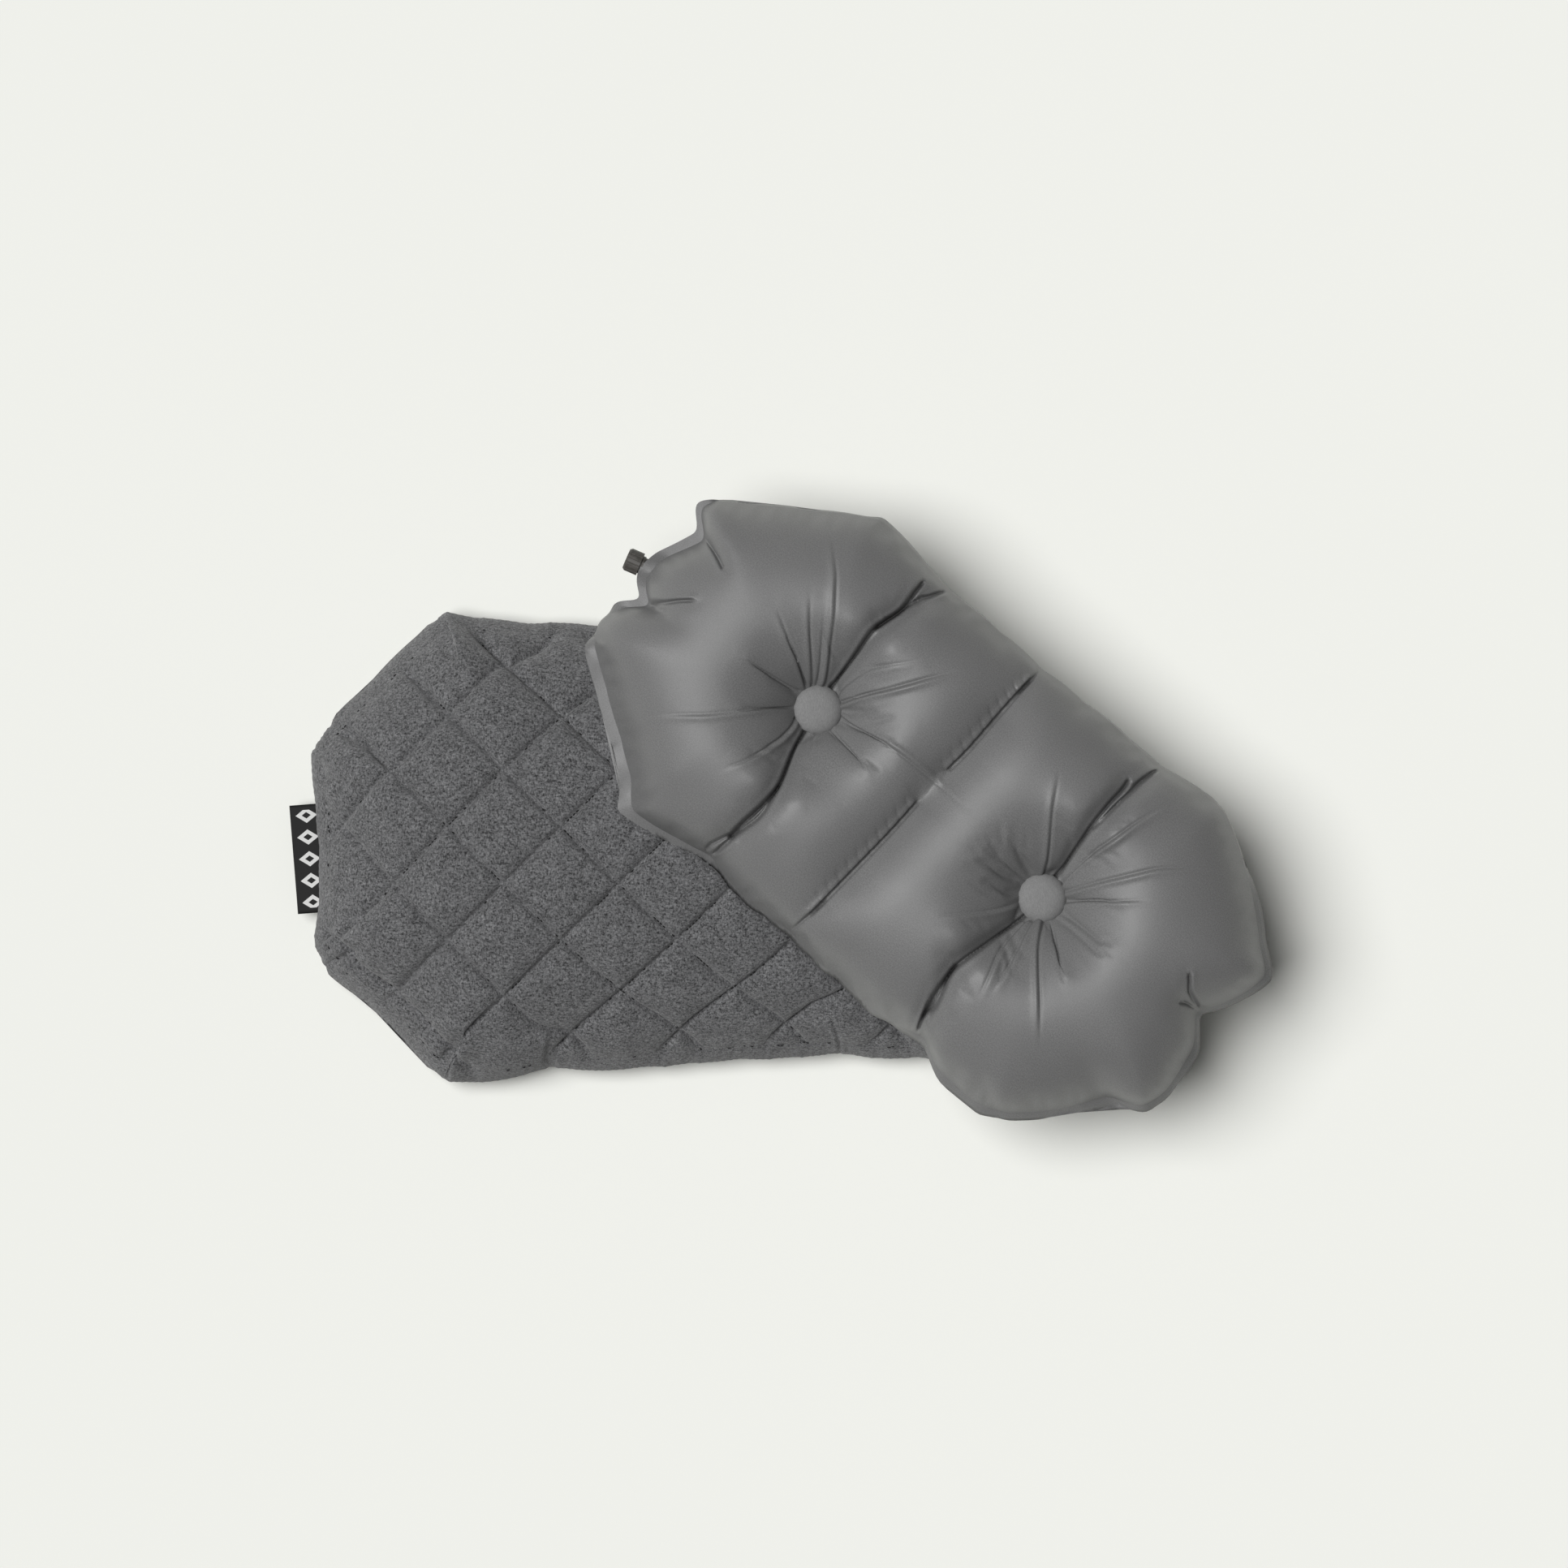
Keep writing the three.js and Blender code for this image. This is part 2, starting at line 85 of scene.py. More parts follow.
BLADDER_FRAME, TUFT_U = panel_frame()
TUFT_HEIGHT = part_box("button_cloth_upper_left")[0].z - BLADDER_FRAME.translation.z
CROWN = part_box("bladder_top_panel")[1].z - BLADDER_FRAME.translation.z
COVER_SEAM_Z = 0.022
COVER_CENTRE = middle("cover_back_panel")
COVER_FRAME = Matrix.Translation((COVER_CENTRE.x, COVER_CENTRE.y, COVER_SEAM_Z))
COVER_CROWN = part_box("cover_top_face")[1].z - COVER_SEAM_Z
JOINTS = {joint["name"]: joint for joint in frame["record"]["behaviour"]["joints"]}
VALVE_AXIS = Vector(JOINTS["valve_pull"]["axis"])
VALVE_BASE = Vector(JOINTS["valve_twist"]["pos_m"])

# ---------------------------------------------------------------- driving dimensions, in metres
# Only the listed paths are in millimetres.

SIM_STEP = 0.0072  # spacing of the cloth's points away from its features
SIM_FRAMES = 28
MOST_TRIANGLES = 190000  # in one piece

# The bladder's flat cut, out to its weld line: a long octagon with rounded corners.
CUT = dict(half_length=0.308, half_width=0.166, corner_start=0.194, end_half=0.080, corner=0.024)
FLANGE = 0.0095  # width of the welded rim outside that line
PULLED = np.array((0.885, 0.835))  # how far the cut draws in when it is inflated: along, across
BUTTON_SEAT = 0.0180  # radius of the skin held flat under a button
BUTTON = dict(turns=72, rings=16, belly=0.72, dome=1.1, tuck=0.93)
SHEET_GAUGE = 0.0006  # the two skins of the flange stand this far apart
FOLD_PIN = 0.9  # how firmly a fold is held while the skins are inflated
ON_LINE = 1e-5  # points nearer than this to a line are on it
# How far the flange leans down, in radians, and how much it waves.
LEAN = dict(tucked=1.35, plain=0.42, hanging=0.72, far_end=0.38, lifted=-0.32, wave=0.16)
# The weld line of the inflated bladder, as (u, v) round from its right end: lobes with gathers between.
WELD = metres((
    (246, 9), (258, 24), (267, 45), (270, 62), (252, 76), (236, 91), (208, 112), (170, 134), (140, 133),
    (112, 128), (84, 129), (40, 129), (0, 128), (-40, 129), (-70, 129), (-89, 128), (-112, 131),
    (-160, 136), (-205, 108), (-240, 84), (-264, 67), (-268, 57), (-250, 43), (-256, 30), (-265, 12),
    (-266, -6), (-259, -16), (-248, -20), (-264, -33), (-271, -52), (-264, -68), (-238, -86), (-205, -108),
    (-180, -126), (-164, -144), (-125, -138), (-99, -132), (-72, -138), (-20, -137), (30, -140), (80, -140),
    (108, -133), (128, -145), (168, -146), (190, -137), (215, -112), (238, -80), (262, -70), (268, -52),
    (263, -12),
))
WEBS = [metres(path) for path in (
    ((-2, 118), (-3, 97), (-4, 46), (-6, 26)),
    ((-8, -4), (-9, -35), (-12, -78), (-15, -120)),
)]
WEB_DEPTH = 0.019  # of the skin at a centre weld, below the crown
# The folds that run through the buttons from edge to edge, as (u, v) on the inflated skin.
FOLDS = [metres(path) for path in (
    ((-91, 124), (-101, 106), (-110, 78), (-111, 40), (-110, 20)),
    ((-105, -20), (-101, -36), (-92, -62), (-93, -96), (-99, -130)),
    ((111, 124), (102, 98), (101, 70), (103, 38), (106, 20)),
    ((106, -22), (97, -49), (89, -78), (94, -108), (106, -132)),
)]
FOLD_DEPTH = 0.013
# Creases: how deep and how tall the ridge beside them is, in millimetres, on which side that is (1 is left
# of the run), then the run as (u, v). The lower skin has the same ones.
CREASES = (
    (7.5, 1.3, 1, ((-110, 14), (-111, 39), (-114, 70), (-111, 80), (-106, 96), (-108, 121))),
    (6.5, 1.2, -1, ((-113, 72), (-107, 91), (-100, 113), (-90, 130))),
    (7.5, 1.3, -1, ((-105, -14), (-101, -36), (-92, -61), (-94, -88), (-96, -113))),
    (6.5, 1.2, 1, ((-93, -60), (-89, -88), (-95, -111), (-97, -128), (-101, -139))),
    (5.0, 1.0, 1, ((-97, -110), (-105, -128), (-102, -139))),
    (7.5, 1.3, -1, ((105, 14), (103, 37), (100, 61), (99, 83), (100, 106))),
    (6.5, 1.2, 1, ((102, 62), (104, 87), (107, 109), (113, 130))),
    (7.5, 1.3, 1, ((107, -14), (98, -49), (91, -73), (90, -85), (95, -102), (96, -123))),
    (6.5, 1.2, -1, ((90, -78), (91, -102), (97, -124), (99, -133), (106, -142))),
    (0.8, 1.1, 1, ((-114, 16), (-126, 34), (-140, 58), (-159, 83), (-184, 106))),
    (1.2, 0.5, -1, ((-119, 12), (-143, 48), (-151, 58))),
    (1.2, 0.7, 1, ((-121, 10), (-145, 36), (-166, 61))),
    (1.1, 0.6, 1, ((-126, 8), (-150, 22), (-178, 37))),
    (0.9, 0.5, 1, ((-127, 2), (-153, -3), (-178, -9))),
    (0.5, 1.0, 1, ((-121, -8), (-143, -30), (-167, -55), (-203, -86))),
    (1.6, 1.0, 1, ((-116, -10), (-116, -35), (-121, -57), (-133, -79))),
    (2.0, 1.8, -1, ((-98, 14), (-74, 48), (-60, 69), (-44, 89))),
    (0.7, 0.6, -1, ((-103, 18), (-96, 48), (-71, 77))),
    (1.0, 1.2, 1, ((-92, 7), (-61, 12), (-26, 14), (1, 14), (21, 13))),
    (0.8, 0.6, 1, ((-93, -5), (-70, -10), (-53, -9))),
    (0.7, 0.5, 1, ((-100, -13), (-85, -35))),
    (0.9, 1.0, 1, ((98, 12), (72, 51), (54, 81))),
    (2.2, 2.0, -1, ((112, 16), (114, 50), (122, 84), (132, 111))),
    (1.2, 1.2, -1, ((116, 13), (135, 41), (156, 70), (193, 100))),
    (0.9, 0.8, -1, ((122, 8), (145, 29), (168, 50))),
    (1.2, 1.5, -1, ((119, -12), (131, -34), (154, -60), (176, -86))),
    (0.9, 0.6, -1, ((122, -6), (140, -22), (157, -39))),
    (1.1, 1.0, 1, ((113, -16), (118, -41), (122, -78))),
    (1.2, 0.9, 1, ((109, -18), (107, -50), (119, -90))),
    (0.7, 0.7, 1, ((96, -12), (78, -36), (54, -61))),
    (5.0, 1.6, 1, ((224, 26), (231, 17), (243, 13), (256, 10))),
    (3.0, 1.2, -1, ((232, 6), (240, 10), (250, 10))),
    (3.2, 1.0, -1, ((-2, 131), (-1, 118), (-3, 104))),
    (3.2, 1.0, 1, ((-18, -137), (-16, -122), (-13, -104))),
    (4.6, 1.5, -1, ((-228, 2), (-240, -10), (-250, -20))),
    (3.0, 1.2, 1, ((-226, 34), (-240, 40), (-251, 43))),
)
DEEP = 2.9  # creases deeper than this are folds that run out to the rim
PUCKER_PITCH = 0.0125  # of the small slanted creases beside a centre weld
PUCKER = dict(depth=0.0007, lean=0.7, out=0.006, reach=0.005)
WEB_CHANNEL = dict(depth=0.0030, width=0.0014, ridge=0.0010, ridge_out=0.0032, ridge_width=0.0026)
CREASE = dict(width=0.0015, ridge_out=0.0032, ridge_width=0.0026, hollow=0.22, hollow_out=0.004,
              hollow_width=0.005, reach=0.012)
CREASE_ROWS = (0, 0.0012, -0.0012, 0.0026, -0.0026, 0.0044, -0.0044)
WEB_ROWS = (0.0012, -0.0012, 0.0026, -0.0026, 0.0046, -0.0046, 0.0070)
TUNNEL = dict(radius=0.0068, fade=0.006, back=0.030, back_fade=0.010, front=0.006)

# The cover's flat cut, and its seam line when it is plump, as (x, y) round from the mouth.
COVER_CUT = dict(half_length=0.309, half_width=0.181, corner_start=0.210, end_half=0.081, corner=0.025)
COVER_PULLED = np.array((0.9725, 0.971))
COVER_SWELL = dict(top=0.062, bottom=0.040, clear=0.0012, laid=0.046)  # reaches in from the seam
COVER_SEAM = metres((
    (296, -62), (297, 0), (296, 62), (280, 80), (234, 116), (196, 148), (176, 154), (150, 156), (70, 156),
    (0, 157), (-70, 160), (-145, 167), (-189, 172), (-207, 176), (-225, 158), (-264, 119), (-288, 98),
    (-298, 83), (-308, 68), (-304, 31), (-301, 0), (-301, -41), (-305, -72), (-295, -94), (-265, -116),
    (-242, -138), (-207, -176), (-181, -178), (-151, -173), (-130, -165), (-60, -166), (-23, -163),
    (13, -160), (50, -159), (88, -155), (127, -160), (148, -158), (188, -166), (205, -163), (245, -130),
    (287, -80),
))
COVER_CREASES = (
    (4.2, 1.2, -1, ((-304, 70), (-297, 80), (-290, 90), (-285, 96))),
    (1.8, 1.0, -1, ((-296, 89), (-286, 84), (-271, 85))),
    (1.8, 1.0, 1, ((-209, 174), (-201, 163), (-194, 144))),
    (1.4, 0.8, 1, ((-298, -91), (-286, -84), (-269, -80))),
    (1.6, 0.8, -1, ((-206, -175), (-200, -161), (-189, -144))),
    (1.2, 0.8, 1, ((-130, -164), (-128, -153), (-123, -139))),
    (1.2, 0.8, 1, ((88, -154), (86, -143), (80, -130))),
)
MOUTH_HALF = 0.060
MOUTH_LIFT = (0.007, -0.0165)  # the mouth's upper and lower lips from the seam's height
QUILT_SIDE = 0.060
QUILT_CROSSING = (-0.202, 0.015)  # a crossing of two stitch lines
QUILT_PUFF = 0.0052
QUILT_GROOVE = dict(soft=0.008, depth=0.0020, width=0.0017)
QUILT_ROWS = (0, 0.0021, -0.0021, 0.0048, -0.0048)
COVER_CREASE_ROWS = (0, 0.0017, -0.0017, 0.0036, -0.0036)
SEAM_INSET = 0.006  # the stitched line of the side seam, in from the edge of the top
SEAM_ROWS = (0.0045, SEAM_INSET, 0.0077)
SEAM_GROOVE = dict(depth=0.0006, width=0.0014)
UNDER_BLADDER = dict(gap=0.0030, ease=0.010)  # how the cover's top lies below the bladder
STITCH = dict(pitch=0.0032, length=0.0025, width=0.0012, lift=0.0005)
HEM = dict(width=0.013, gauge=0.0036, proud=0.0015)
LABEL = dict(gauge=0.0013, tuck=0.006, tilt=math.radians(4.5), droop=0.0035, wave=0.0007)
COVER_WALL = dict(top=0.0085, back=0.0030, seam=0.0010, reach=0.030)

# ---------------------------------------------------------------- cut cloth panels


def outline(cut, offset=0.0, step=0.005):
    """Points round a long octagon with rounded corners, moved outward by offset, about step apart."""
    corners = [
        (cut["half_length"], -cut["end_half"]), (cut["half_length"], cut["end_half"]),
        (cut["corner_start"], cut["half_width"]), (-cut["corner_start"], cut["half_width"]),
        (-cut["half_length"], cut["end_half"]), (-cut["half_length"], -cut["end_half"]),
        (-cut["corner_start"], -cut["half_width"]), (cut["corner_start"], -cut["half_width"]),
    ]
    count = len(corners)
    turns = []
    for i in range(count):
        here, before, after = (np.array(corners[k % count]) for k in (i, i - 1, i + 1))
        to_before = (before - here) / np.linalg.norm(before - here)
        to_after = (after - here) / np.linalg.norm(after - here)
        half = math.acos(float(np.clip(to_before @ to_after, -1, 1))) / 2
        bisector = (to_before + to_after) / np.linalg.norm(to_before + to_after)
        centre = here + bisector * cut["corner"] / math.sin(half)
        start = math.atan2(-(bisector[1]), -(bisector[0])) - (math.pi / 2 - half)
        radius = cut["corner"] + offset
        arc = np.linspace(start, start + math.pi - 2 * half, max(3, round(radius * 1.2 / step)))
        turns.append([centre + radius * np.array((math.cos(a), math.sin(a))) for a in arc])
    points = []
    for i, turn in enumerate(turns):
        points.extend(turn)
        gap = turns[(i + 1) % count][0] - turn[-1]
        pieces = max(1, round(float(np.linalg.norm(gap)) / step))
        points.extend(turn[-1] + gap * k / pieces for k in range(1, pieces))
    return np.array(points)


def inside_distance(points, loop):
    """Signed distance of points from a closed outline: positive inside it."""
    after = np.roll(loop, -1, axis=0)
    edge = after - loop
    nearest = np.full(len(points), np.inf)
    crossings = np.zeros(len(points), int)
    for a, b, e in zip(loop, after, edge):
        share = np.clip(((points - a) @ e) / (e @ e), 0, 1)
        nearest = np.minimum(nearest, np.linalg.norm(points - a - share[:, None] * e, axis=1))
        spans = (a[1] > points[:, 1]) != (b[1] > points[:, 1])
        with np.errstate(divide="ignore", invalid="ignore"):
            crossing_x = a[0] + (points[:, 1] - a[1]) * e[0] / e[1]
        crossings += spans & (points[:, 0] < crossing_x)
    return np.where(crossings % 2 == 1, nearest, -nearest)


def run_lengths(path):
    """How far along a polyline each of its points is."""
    return np.concatenate(([0], np.cumsum(np.linalg.norm(np.diff(path, axis=0), axis=1))))


def spaced(path, step):
    """Points about step apart along a polyline."""
    path = np.array(path, float)
    lengths = run_lengths(path)
    at = np.linspace(0, lengths[-1], max(2, round(lengths[-1] / step) + 1))
    return np.stack([np.interp(at, lengths, values) for values in path.T], axis=1)


def rounded(path, step=0.004):
    """A polyline with its bends smoothed, for a crease's run."""
    line = spaced(path, step)
    for _ in range(4):
        line[1:-1] = (line[:-2] + 2 * line[1:-1] + line[2:]) / 4
    return line


def line_distance(points, path):
    """Distance of points from a polyline."""
    nearest = np.full(len(points), np.inf)
    for a, b in zip(path, path[1:]):
        e = b - a
        share = np.clip(((points - a) @ e) / max(e @ e, 1e-18), 0, 1)
        nearest = np.minimum(nearest, np.linalg.norm(points - a - share[:, None] * e, axis=1))
    return nearest


def along_line(points, path):
    """For each point: its signed distance from a polyline, left being positive, and its share along it."""
    nearest = np.full(len(points), np.inf)
    signed = np.zeros(len(points))
    share_along = np.zeros(len(points))
    lengths = run_lengths(path)
    for k, (a, b) in enumerate(zip(path, path[1:])):
        e = b - a
        length = np.linalg.norm(e)
        share = np.clip(((points - a) @ e) / length ** 2, 0, 1)
        gap = points - a - share[:, None] * e
        away = np.linalg.norm(gap, axis=1)
        closer = away < nearest
        nearest = np.where(closer, away, nearest)
        side = np.sign(e[0] * gap[:, 1] - e[1] * gap[:, 0])
        signed = np.where(closer, away * side, signed)
        share_along = np.where(closer, (lengths[k] + share * length) / lengths[-1], share_along)
    return signed, share_along


def nearest_gap(points, others):
    """Distance of each point from the nearest of the others."""
    gap = np.full(len(points), np.inf)
    for start in range(0, len(others), 64):
        block = others[start:start + 64]
        gap = np.minimum(gap, np.linalg.norm(points[:, None] - block[None], axis=2).min(axis=1))
    return gap


def thinned(points, gap):
    """Those points that stand at least gap from every earlier one."""
    cells, kept = {}, []
    for p in points:
        i, j = int(math.floor(p[0] / gap)), int(math.floor(p[1] / gap))
        near = (q for a in (-1, 0, 1) for b in (-1, 0, 1) for q in cells.get((i + a, j + b), ()))
        if all((p[0] - q[0]) ** 2 + (p[1] - q[1]) ** 2 >= gap * gap for q in near):
            cells.setdefault((i, j), []).append(p)
            kept.append(p)
    return kept


def beside(path, step, offsets):
    """Points in rows beside a line, at the offsets given."""
    line = spaced(path, step)
    run = np.gradient(line, axis=0)
    across = np.stack([-run[:, 1], run[:, 0]], axis=1) / np.linalg.norm(run, axis=1)[:, None]
    return [p for offset in offsets for p in line + across * offset]


def triangulate(loops, paths, sites, inside, fine_at, step, seed):
    """Triangles over a flat cut.

    Loops and paths become edges, and sites become points where there is room. The rest is filled with a
    slightly shaken lattice, which fine_at makes closer.
    """
    points, edges = [], []
    for line, closed in [(loop, True) for loop in loops] + [(path, False) for path in paths]:
        first = len(points)
        points.extend(line)
        edges.extend((first + k, first + k + 1) for k in range(len(line) - 1))
        if closed:
            edges.append((first + len(line) - 1, first))
    fixed = np.array(points)
    near_rule = step * 0.16
    extra = np.array(thinned(sites, near_rule)).reshape(-1, 2)
    if len(extra):
        extra = extra[(nearest_gap(extra, fixed) > near_rule) & inside(extra)]
    fixed = np.concatenate([fixed, extra])
    reach = np.abs(fixed).max(axis=0)
    draw = np.random.default_rng(seed)
    rise = step * math.sqrt(3) / 4
    rows, columns = int(reach[1] / rise) + 1, int(2 * reach[0] / step) + 1
    i, j = np.meshgrid(np.arange(-columns, columns + 1), np.arange(-rows, rows + 1))
    lattice = np.stack([(i + (j % 2) / 2).ravel() * step / 2, j.ravel() * rise], axis=1)
    coarse = ((j % 2 == 0) & ((i + j // 2) % 2 == 0)).ravel()
    lattice += draw.uniform(-0.09, 0.09, lattice.shape) * step
    lattice = lattice[(coarse | fine_at(lattice)) & inside(lattice)]
    room = np.where(fine_at(lattice), 0.3, 0.55) * step
    points = list(fixed) + list(lattice[nearest_gap(lattice, fixed) > room])
    found = delaunay_2d_cdt([Vector(p) for p in points], edges, [], 0, 1e-7)
    return np.array([tuple(p) for p in found[0]]), np.array(found[2])


def smooth(x):
    """0 up to 0, 1 from 1 on, and an eased rise between."""
    x = np.clip(x, 0, 1)
    return x * x * (3 - 2 * x)


def quarter_round(x):
    """0 at 0 and 1 from 1 on, rising as a quarter circle does."""
    return np.sqrt(1 - (1 - np.clip(x, 0, 1)) ** 2)


def bell(x, width):
    """1 at 0, falling off to either side over the width."""
    return np.exp(-(x / width) ** 2)


def round_reach(outline_points):
    """The distance from the middle of a closed outline at any angle, with its corners eased."""
    line = np.array(outline_points)
    angle = np.unwrap(np.arctan2(line[:, 1], line[:, 0]))
    radius = np.hypot(line[:, 0], line[:, 1])
    order = np.argsort(angle % (2 * math.pi))
    angle, radius = (angle % (2 * math.pi))[order], radius[order]
    grid = np.linspace(0, 2 * math.pi, 1441)[:-1]
    reach = np.interp(grid, angle, radius, period=2 * math.pi)
    kernel = np.exp(-(np.arange(-12, 13) / 3.2) ** 2)
    kernel /= kernel.sum()
    reach = np.convolve(np.concatenate([reach[-12:], reach, reach[:12]]), kernel, "valid")
    return lambda a: np.interp(a % (2 * math.pi), grid, reach, period=2 * math.pi)


def settled(cut, weld, rim, pulled, target, blend):
    """Where cut points lie when the weld line follows target: moved near the rim, drawn in elsewhere."""
    place = cut * pulled
    angle = np.arctan2(place[:, 1], place[:, 0])
    drawn = round_reach(weld * pulled)
    shift = target(angle) - drawn(angle)
    share = 1 - smooth(rim / blend)
    return place * (1 + (shift * share / np.maximum(np.hypot(place[:, 0], place[:, 1]), 1e-6)))[:, None]


def unsettled(places, weld, pulled, target, blend):
    """The cut points that settle at the places given."""
    places = np.array(places, float)
    cut = places / pulled
    for _ in range(30):
        rim = np.clip(inside_distance(cut, weld), 0, None)
        cut = cut + 0.6 * (places - settled(cut, weld, rim, pulled, target, blend)) / pulled
    return cut


# ---------------------------------------------------------------- cloth simulation

SIM_SCALE = 10  # the solver works in decimetres, where its stiffness values behave


def inflate(name, points, flat, faces, pinned, pressed, pressure, bending=0.05, tension=40.0):
    """Where the points come to rest when the cloth cut to `flat` is blown up from `points`."""
    mesh = bpy.data.meshes.new(name)
    mesh.from_pydata((points * SIM_SCALE).tolist(), [], [tuple(map(int, f)) for f in faces])
    cloth = bpy.data.objects.new(name, mesh)
    scene = bpy.context.scene
    scene.collection.objects.link(cloth)
    cloth.shape_key_add(name="start")
    cut = cloth.shape_key_add(name="cut")
    cut.data.foreach_set("co", (flat * SIM_SCALE).astype(np.float32).ravel())
    cut.value = 0
    for group_name, weights in (("pinned", pinned), ("pressed", pressed)):
        group = cloth.vertex_groups.new(name=group_name)
        for value in np.unique(weights[weights > 0]):
            group.add(np.nonzero(weights == value)[0].tolist(), float(value), "REPLACE")
    modifier = cloth.modifiers.new("inflate", "CLOTH")
    settings = modifier.settings
    settings.quality = 6
    settings.mass = 0.3
    settings.tension_stiffness = settings.compression_stiffness = tension
    settings.shear_stiffness = tension / 4
    settings.bending_stiffness = bending
    settings.tension_damping = settings.compression_damping = 10
    settings.shear_damping = 5
    settings.bending_damping = 0.5
    settings.air_damping = 3
    settings.use_pressure = True
    settings.uniform_pressure_force = pressure
    settings.vertex_group_pressure = "pressed"
    settings.vertex_group_mass = "pinned"
    settings.effector_weights.gravity = 0
    settings.rest_shape_key = cut
    modifier.collision_settings.use_collision = False
    modifier.collision_settings.use_self_collision = False
    modifier.point_cache.frame_end = scene.frame_end = SIM_FRAMES
    for step in range(1, SIM_FRAMES + 1):
        scene.frame_set(step)
    evaluated = cloth.evaluated_get(bpy.context.evaluated_depsgraph_get())
    rest = np.zeros(len(points) * 3, np.float32)
    evaluated.data.vertices.foreach_get("co", rest)
    bpy.data.objects.remove(cloth)
    bpy.data.meshes.remove(mesh)
    scene.frame_set(1)
    return rest.reshape(-1, 3).astype(float) / SIM_SCALE


# ---------------------------------------------------------------- meshes


def column(items, name, width=1, kind=np.float32):
    """One property of every item, in rows where it has more than one number."""
    values = np.zeros(len(items) * width, kind)
    items.foreach_get(name, values)
    return values.reshape(-1, width) if width > 1 else values


def mesh_object(name, points, faces, flat=None, smooth_faces=True):
    mesh = bpy.data.meshes.new(name)
    mesh.from_pydata([tuple(map(float, p)) for p in points], [], [tuple(map(int, f)) for f in faces])
    if flat is not None:
        layer = mesh.uv_layers.new(name="cut")
        index = column(mesh.loops, "vertex_index", kind=int)
        layer.data.foreach_set("uv", flat[index][:, :2].astype(np.float32).ravel())
    if smooth_faces:
        mesh.polygons.foreach_set("use_smooth", [True] * len(mesh.polygons))
    made = bpy.data.objects.new(name, mesh)
    bpy.context.scene.collection.objects.link(made)
    return made


def work_in(piece, modifier):
    """Works the modifier into the piece's own mesh."""
    evaluated = piece.evaluated_get(bpy.context.evaluated_depsgraph_get())
    mesh = bpy.data.meshes.new_from_object(evaluated)
    piece.modifiers.remove(modifier)
    piece.data = mesh


def subdivide(piece):
    """Smooths the piece by one level of subdivision."""
    modifier = piece.modifiers.new("smooth", "SUBSURF")
    modifier.levels = modifier.render_levels = 1
    modifier.uv_smooth = "PRESERVE_BOUNDARIES"
    work_in(piece, modifier)


def lighten(piece, chosen):
    """Merges faces round the chosen vertices until the piece has no more than MOST_TRIANGLES."""
    mesh = piece.data
    triangles = sum(len(p.vertices) - 2 for p in mesh.polygons)
    if triangles <= MOST_TRIANGLES:
        return
    group = piece.vertex_groups.new(name="lighten")
    group.add(np.nonzero(chosen)[0].tolist(), 1.0, "REPLACE")
    modifier = piece.modifiers.new("lighten", "DECIMATE")
    modifier.ratio = MOST_TRIANGLES / triangles
    modifier.vertex_group = group.name
    work_in(piece, modifier)
    piece.vertex_groups.clear()


def mesh_points(mesh):
    return column(mesh.vertices, "co", 3).astype(float)


def mesh_normals(mesh):
    return column(mesh.vertex_normals, "vector", 3).astype(float)


def mesh_flat(mesh):
    """Each vertex's place in the flat cut."""
    flat = np.zeros((len(mesh.vertices), 2))
    flat[column(mesh.loops, "vertex_index", kind=int)] = column(mesh.uv_layers["cut"].data, "uv", 2)
    return flat


def vertex_normals(points, faces):
    """Unit normals of the points, from the triangles round them."""
    corners = points[faces]
    across = np.cross(corners[:, 1] - corners[:, 0], corners[:, 2] - corners[:, 0])
    normals = np.zeros_like(points)
    for k in range(3):
        np.add.at(normals, faces[:, k], across)
    return normals / np.maximum(np.linalg.norm(normals, axis=1), 1e-12)[:, None]


def set_points(mesh, points):
    mesh.vertices.foreach_set("co", points.astype(np.float32).ravel())
    mesh.update()


def rows_of_faces(rows, across, first=0):
    """Quads between successive closed rows of points, each `across` points long."""
    faces = []
    for row in range(rows):
        for k in range(across):
            a = first + row * across + k
            b = first + row * across + (k + 1) % across
            faces.append((a, b, b + across, a + across))
    return faces


def tube_faces(rows, across, first=0):
    """Quads round a tube of rows, with a cap at each end."""
    faces = rows_of_faces(rows, across, first)
    faces.append(tuple(first + k for k in range(across))[::-1])
    faces.append(tuple(first + rows * across + k for k in range(across)))
    return faces


def face_outward(piece):
    """Turns the piece's faces to look outward."""
    work = bmesh.new()
    work.from_mesh(piece.data)
    bmesh.ops.recalc_face_normals(work, faces=work.faces)
    work.to_mesh(piece.data)
    work.free()


# ---------------------------------------------------------------- bladder

BLADDER_WELD = outline(CUT, 0, SIM_STEP * 0.6)
BLADDER_REACH = round_reach(WELD)
RIM_BLEND = 0.075  # how far in from the weld line its lobes still shift the skin
BUTTON_CENTRES = [np.array((side * TUFT_U, 0)) / PULLED for side in (-1, 1)]


def bladder_cut(path):
    return unsettled(path, BLADDER_WELD, PULLED, BLADDER_REACH, RIM_BLEND)


WEB_LINES = [rounded(bladder_cut(path)) for path in WEBS]
FOLD_LINES = [rounded(bladder_cut(path)) for path in FOLDS]
CREASE_LINES = [rounded(bladder_cut(metres(path))) for _, _, _, path in CREASES]


